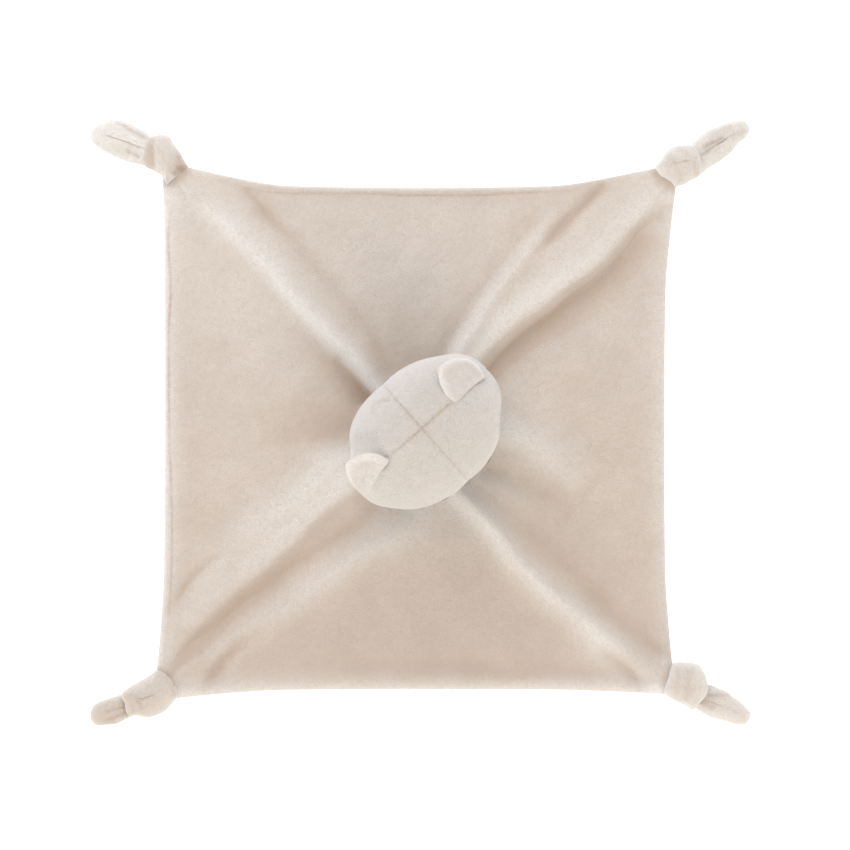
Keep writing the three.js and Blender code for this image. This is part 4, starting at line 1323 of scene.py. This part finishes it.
ears = dict(
    thick=2.4,          # of one layer, with its pile
    rings=60,
    around=200,
    fullness=2.2,
    dish=2.3,           # how deep the front is hollowed
    dishFrom=(0.1, 0.65),   # the shares of the way in over which it deepens
    innerDish=0.94,     # of the dish, at a layer's inner side
    layerGap=0.06,      # from the ear's middle to each layer
    creaseDepth=0.25,
    creaseCloseness=0.9,
    creaseReach=3,
    roughness=[(0.25, 4.5, 51), (0.12, 2, 52)],
    # painted highlight along the rim: how pale, and the shares out and heights up where it comes in
    rimHighlight=0.85,
    rimReach=(0.55, 0.95),
    rimHeights=(-3, 5),
)
earShapes = dict(
    left=dict(
        outline=[(-12.6, -2.4), (-13.6, 1), (-14, 5), (-13.2, 9.6), (-11.6, 14.2), (-9.2, 17.8), (-5.6, 19.2),
                 (0.8, 18.3), (8.4, 15.2), (14.2, 10.8), (17.4, 5.8), (17.4, 1), (16, -2.6), (6.6, -2), (-1.9, -2),
                 (-7.5, -2.4)],
        core=[(-5, 9), (5, 5.5)], lift=0.03, lean=(-0.23, 0.92, 0.32), drop=3, bend=52, pale=0.1),
    right=dict(
        outline=[(11, -2.6), (11.6, 0.8), (11.4, 6.8), (9, 11.6), (5, 14.2), (-0.2, 15.8), (-5.4, 15.6),
                 (-11.6, 10.4), (-17, 3.8), (-21, -3), (-22.6, -8.3), (-21, -11.6), (-15, -10.2),
                 (-6.5, -6.6), (2.2, -4)],
        core=[(-14, -2), (0, 4)], lift=0.05, lean=(0.25, 0.62, 0.7), drop=1, bend=110, pale=0.45),
)


def earAxes(side):
    # the fold joint gives the seat's middle and line, and the ear stands square to that line
    joint = joints[side + "_ear_fold"]
    middle = np.array(joint["pos_m"]) / mm
    along = unit(joint["axis"])
    lean = fromHead(earShapes[side]["lean"]) - neckPlace
    upwards = unit(lean - along * lean.dot(along))
    forwards = np.cross(along, upwards)
    return middle - forwards * earShapes[side]["drop"], along, upwards, forwards


def addEar(side, layer):
    # the front layer is hollowed and the back one follows it; each has a rounded outer side and a plain inner one
    shape = earShapes[side]
    seat, along, upwards, forwards = earAxes(side)
    plan, reach, rise = pillow(shape["outline"], shape["core"], ears["rings"], ears["around"], ears["fullness"])
    a, u = plan[..., 0], plan[..., 1]
    hollow = ears["dish"] * smoothstep(1 - reach, *ears["dishFrom"])
    roundness = np.maximum(rise, 0)
    facing = 1 if layer == "front" else -1
    off = facing * (ears["layerGap"] + ears["thick"] * roundness)
    off -= hollow * np.where(rise > 0, 1, ears["innerDish"])
    off -= a ** 2 / (2 * shape["bend"]) - shape["lift"] * np.maximum(u, 0)
    creases = (ears["creaseDepth"] * np.cos(ears["creaseCloseness"] * a + 1)
               * np.exp(-np.abs(u + 1) / ears["creaseReach"]))
    points = seat + along * a[..., None] + upwards * u[..., None] + forwards * (off + creases)[..., None]
    points += (facing * noiseLayers(points, ears["roughness"]) * roundness)[..., None] * forwards
    body, faces = loft(points)
    # painted highlight along the rim, over each ear's own paleness
    rim = ears["rimHighlight"] * smoothstep(reach, *ears["rimReach"]) * smoothstep(u, *ears["rimHeights"])
    material = earPlush if layer == "front" else headPlush
    return addMesh(camel(side + "_ear_" + layer), body, faces, material, brushed=shape["pale"] + rim)


earPieces = {(side, layer): addEar(side, layer) for side in ("left", "right") for layer in ("front", "back")}
print("ears made")


# Neck: the blanket's middle gathered into a tuft, in pleats that fan out onto the blanket. Sizes are in mm.

neck = dict(
    profile=[(33, 3.6), (27, 7.4), (21, 10.6), (16.6, 13.6), (14.6, 16.8), (16.4, 20.7),
             (17.2, joints["head_turn"]["pos_m"][2] / mm), (14, 36), (7, 42), (0.6, 43.6)],    # radius, height
    pleatDepth=1,
    pleatsIn=(0, 0.2),          # shares of the profile over which they deepen
    pleatsOut=(0.5, 0.9),       # and over which they lose most of their depth
    pleatLoss=0.85,
    rows=60,
    sides=184,
)


def addNeck():
    # a profile from the flare up the waist and over the tuft, with the blanket's own pleats about it
    share = np.linspace(0, 1, neck["rows"])[:, None]
    angle = np.linspace(0, 2 * math.pi, neck["sides"], endpoint=False)[None, :]
    profile = splineThrough(neck["profile"], neck["rows"])
    depth = (neck["pleatDepth"] * smoothstep(share, *neck["pleatsIn"])
             * (1 - neck["pleatLoss"] * smoothstep(share, *neck["pleatsOut"])))
    radius = profile[:, :1] + depth * neckPleat(angle)
    rings = np.stack([radius * np.cos(angle), radius * np.sin(angle), profile[:, 1:] + 0 * angle], axis=-1)
    body, faces = loft(rings + neckPlace)
    return addMesh("neckGather", body, faces, plush)


neckGather = addNeck()

neckStitching = dict(
    count=44,
    inset=0.4,      # inside the seam thread's outline
    slant=0.55,     # rise for each mm round the neck
    length=2.6,
    thick=0.9,
)


def addNeckStitches():
    # slanting stitches once round the neck, where the head is sewn to the tuft
    low, high = (np.array(corner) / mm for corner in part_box("neck_seam_thread"))
    radius = (high[0] - low[0]) / 2 - neckStitching["inset"]
    angle = np.linspace(0, 2 * math.pi, neckStitching["count"], endpoint=False)
    outwards = np.stack([np.cos(angle), np.sin(angle), 0 * angle], axis=-1)
    middles = neckPlace + outwards * radius + np.array([0, 0, (low[2] + high[2]) / 2])
    along = unit(np.cross([0, 0, 1], outwards) + np.array([0, 0, neckStitching["slant"]]))
    body, faces = stitchBody(neckStitching["length"], neckStitching["thick"])
    points, faces = copies(body, faces, middles, np.stack([along, outwards, np.cross(along, outwards)], axis=1))
    return addMesh("neckStitches", points, faces, seamThread)


neckStitches = addNeckStitches()
print("neck made")


# Face: satin stitches of rayon thread, lying side by side. Sizes are in mm.

face = dict(
    eyeSpread=33,
    eyeHeight=47.5,
    eyeWide=5,
    eyeTall=5.6,
    eyeStitches=12,
    eyeShare=0.94,      # of the half width, from the middle to the last stitch
    eyeLeast=0.4,       # the length that a stitch keeps at the eye's ends
    noseHeight=40.5,
    noseWide=10,
    noseTall=6.5,
    noseStitches=15,
    noseShare=0.96,
    noseTip=0.35,       # of the nose's width
    noseTaper=0.8,      # less than 1 for bulging sides
    noseRounding=0.5,   # of its upper corners
    mouthHeight=32.5,
    mouthWide=15,
    mouthRise=2.6,
    mouthStitches=9,
    mouthLength=2.3,    # of one stitch
    mouthThick=1,
    mouthSides=8,
    thread=0.55,
    threadRings=7,
    threadProud=1.3,    # how much further a satin stitch stands up than it is wide
    satinOff=0.35,      # of the stitches' middles, off the cloth
    mouthOff=0.3,
)


def onFace(x, z, proud):
    # the place on the puffed head under a sideways place and a height
    tall = np.where(z > head["middle"], head["upper"], head["lower"])
    upwards = (z - head["middle"]) / tall
    across = x / head["halfWidth"]
    inwards = -np.sqrt(np.clip(1 - across ** 2 - upwards ** 2, 0, 1))
    plain = np.stack([x, head["crownBack"] + head["front"] * inwards, z], axis=-1)
    outwards = unit(np.stack([across / head["halfWidth"], inwards / head["front"], upwards / tall], axis=-1))
    return plain + outwards * (gorePuff(plain) + proud)[..., None], outwards


def alongFace(slope, outwards):
    # the direction on the cloth that slopes by an angle
    sideways = unit(np.stack([np.cos(slope), 0 * slope, np.sin(slope)], axis=-1))
    return unit(sideways - outwards * np.sum(sideways * outwards, axis=-1, keepdims=True))


def satin(name, x, z, lengths, slope):
    # stitches with their middles at x, z and their own lengths, all at one slope
    middles, outwards = onFace(x, z, face["satinOff"])
    along = alongFace(slope + 0 * x, outwards)
    body, faces = stitchBody(1, 1, face["threadRings"])
    across = np.cross(outwards, along)
    axes = np.stack([along * lengths[:, None], across * face["thread"],
                     outwards * face["thread"] * face["threadProud"]], axis=1)
    points, faces = copies(body, faces, middles, axes)
    return addMesh(name, fromHead(points), faces, faceThread)


def addEye(name, side):
    # upright stitches across an oval
    share = np.linspace(-face["eyeShare"], face["eyeShare"], face["eyeStitches"])
    x = side * face["eyeSpread"] / 2 + share * face["eyeWide"] / 2
    lengths = face["eyeTall"] * np.sqrt(1 - share ** 2) + face["eyeLeast"]
    return satin(name, x, face["eyeHeight"] + 0 * x, lengths, math.pi / 2)


def addNose():
    # level stitches down a rounded triangle
    share = np.linspace(face["noseShare"], -face["noseShare"], face["noseStitches"])
    narrowing = mix(face["noseTip"], 1, (share + 1) / 2) ** face["noseTaper"]
    lengths = face["noseWide"] * narrowing * np.sqrt(1 - np.clip(share, 0, 1) ** 4 * face["noseRounding"])
    return satin("nose", 0 * share, face["noseHeight"] + share * face["noseTall"] / 2, lengths, 0)


def addMouth():
    # back stitches along a shallow curve, and two down from the nose
    share = np.linspace(-1, 1, face["mouthStitches"])
    down = np.linspace(face["noseHeight"] - face["noseTall"] / 2, face["mouthHeight"], 4)[1:3]
    x = np.concatenate([share * face["mouthWide"] / 2, 0 * down])
    z = np.concatenate([face["mouthHeight"] + face["mouthRise"] * share ** 2, down])
    slope = np.arctan2(2 * face["mouthRise"] * share, face["mouthWide"] / 2)
    slope = np.concatenate([slope, math.pi / 2 + 0 * down])
    middles, outwards = onFace(x, z, face["mouthOff"])
    along = alongFace(slope, outwards)
    body, faces = stitchBody(face["mouthLength"], face["mouthThick"], face["threadRings"], face["mouthSides"])
    axes = np.stack([along, np.cross(outwards, along), outwards], axis=1)
    points, faces = copies(body, faces, middles, axes)
    return addMesh("mouth", fromHead(points), faces, faceThread)


leftEye, rightEye = addEye("leftEye", 1), addEye("rightEye", -1)
nose, mouth = addNose(), addMouth()
print("face made")


# What each piece moves with and which part it stands for; cloth that would bend is only baked in place

def settle(piece, body, slot, *nodes):
    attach(piece, body)
    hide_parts(*nodes)


def bend(piece, near, far, slot, node, start, end):
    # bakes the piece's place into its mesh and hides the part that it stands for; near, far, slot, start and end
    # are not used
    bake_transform(piece)
    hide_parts(node)


# Places in mm out from a knot's middle, up the neck, and up an ear from its seat, handed to bend as start and end
bends = dict(tail=(5, 19), neck=(10, 19), ear=(-1, 4))


def tailBend(corner):
    # from just inside the knot to clear of it, along the tail's core
    middle = np.array([*knotMiddle(corner)[:2], tailShapes[corner]["level"]])
    outwards = unit(np.array([*tailShapes[corner]["core"][-1], middle[2]]) - middle)
    return [middle + away * outwards for away in bends["tail"]]


settle(blanketTop, "blanket", "plush", "blanket_top_panel")
settle(blanketBottom, "blanket", "plush", "blanket_bottom_panel")
for side, run in edgeRuns.items():
    settle(run, "blanket", "sewing_thread", side + "_seam_thread")
for corner in clothCorners:
    settle(knots[corner], "blanket", "plush", corner + "_knot")
    bend(tails[corner], "blanket", corner + "_end", "plush", corner + "_tail", *tailBend(corner))
bend(neckGather, "blanket", "neck", "plush", "neck_gather", *(neckPlace + [0, 0, up] for up in bends["neck"]))
settle(neckStitches, "neck_seam", "sewing_thread", "neck_seam_thread")
for node, gore in gores.items():
    settle(gore, "head", "plush", node)
settle(headFilling, "head", "fibre_filling", "head_filling")
for (side, layer), ear in earPieces.items():
    seat, along, upwards, forwards = earAxes(side)
    bend(ear, "head", side + "_ear", "plush", f"{side}_ear_{layer}", *(seat + up * upwards for up in bends["ear"]))
for node, piece in dict(left_eye=leftEye, right_eye=rightEye, nose=nose, mouth=mouth).items():
    settle(piece, "head", "embroidery", node)

print("pieces settled")


# Floor and light: a white light table under a pale sky, a large cool soft box and a lamp overhead beyond the
# upper edge, and the strongest lamp, a warm fill, beyond the lower edge. Places are in metres.

light = dict(
    tableColour="#f4f4f4",
    tableRoughness=0.9,
    tableGloss=0.1,
    tableGlow=0.5,
    tableGlowColour="#ffffff",
    tableHalfWidth=15000,       # mm
    skyColour="#ffffff",
    horizonStrength=0.65,
    zenithStrength=0.88,
    skyHeights=(0.1, 0.6),      # the upward shares of a direction between which the strength changes
)
lamps = dict(
    key=dict(place=(-0.42, 1.05, 0.85), size=1.8, power=13.5, colour="#f2f6ff"),
    top=dict(place=(-0.6, 0.8, 1.4), size=1.2, power=5, colour="#ffffff"),
    fill=dict(place=(0.35, -1.3, 0.8), size=1.6, power=17, colour="#fff6ec"),
)


def addFloor():
    material, tree = newMaterial("matteWhiteTable")
    showSurface(tree, {
        "Base Color": linearColour(light["tableColour"]), "Roughness": light["tableRoughness"],
        "Specular IOR Level": light["tableGloss"], "Emission Color": linearColour(light["tableGlowColour"]),
        "Emission Strength": light["tableGlow"],
    })
    half = light["tableHalfWidth"]
    points = np.array([(-half, -half, 0), (half, -half, 0), (half, half, 0), (-half, half, 0)], float)
    addMesh("tableTop", points, [np.array([[0, 1, 2, 3]])], material)


def addLamp(name, place, size, power, colour):
    data = bpy.data.lights.new(name, "AREA")
    data.shape = "DISK"
    data.size = size
    data.energy = power
    data.color = linearColour(colour)[:3]
    lamp = bpy.data.objects.new(name, data)
    lamp.location = place
    lamp.rotation_euler = (-Vector(place)).to_track_quat("-Z", "Y").to_euler()
    bpy.context.scene.collection.objects.link(lamp)


def addSky():
    # a world that is a little brighter overhead than at the horizon
    world = bpy.data.worlds.new("paleStudio")
    world.use_nodes = True
    tree = world.node_tree
    low, high = light["skyHeights"]
    direction = addNode(tree, "ShaderNodeSeparateXYZ", None, {
        "Vector": addNode(tree, "ShaderNodeTexCoord").outputs["Generated"]})
    brightness = addNode(tree, "ShaderNodeMapRange", {
        "From Min": low, "From Max": high, "To Min": light["horizonStrength"], "To Max": light["zenithStrength"],
    }, {"Value": direction.outputs["Z"]})
    background = tree.nodes["Background"]
    background.inputs["Color"].default_value = linearColour(light["skyColour"])
    tree.links.new(brightness.outputs["Result"], background.inputs["Strength"])
    bpy.context.scene.world = world


addFloor()
for name, lamp in lamps.items():
    addLamp(name + "Light", **lamp)
addSky()
bpy.context.scene.view_settings.view_transform = "Standard"
print("stage and light made")
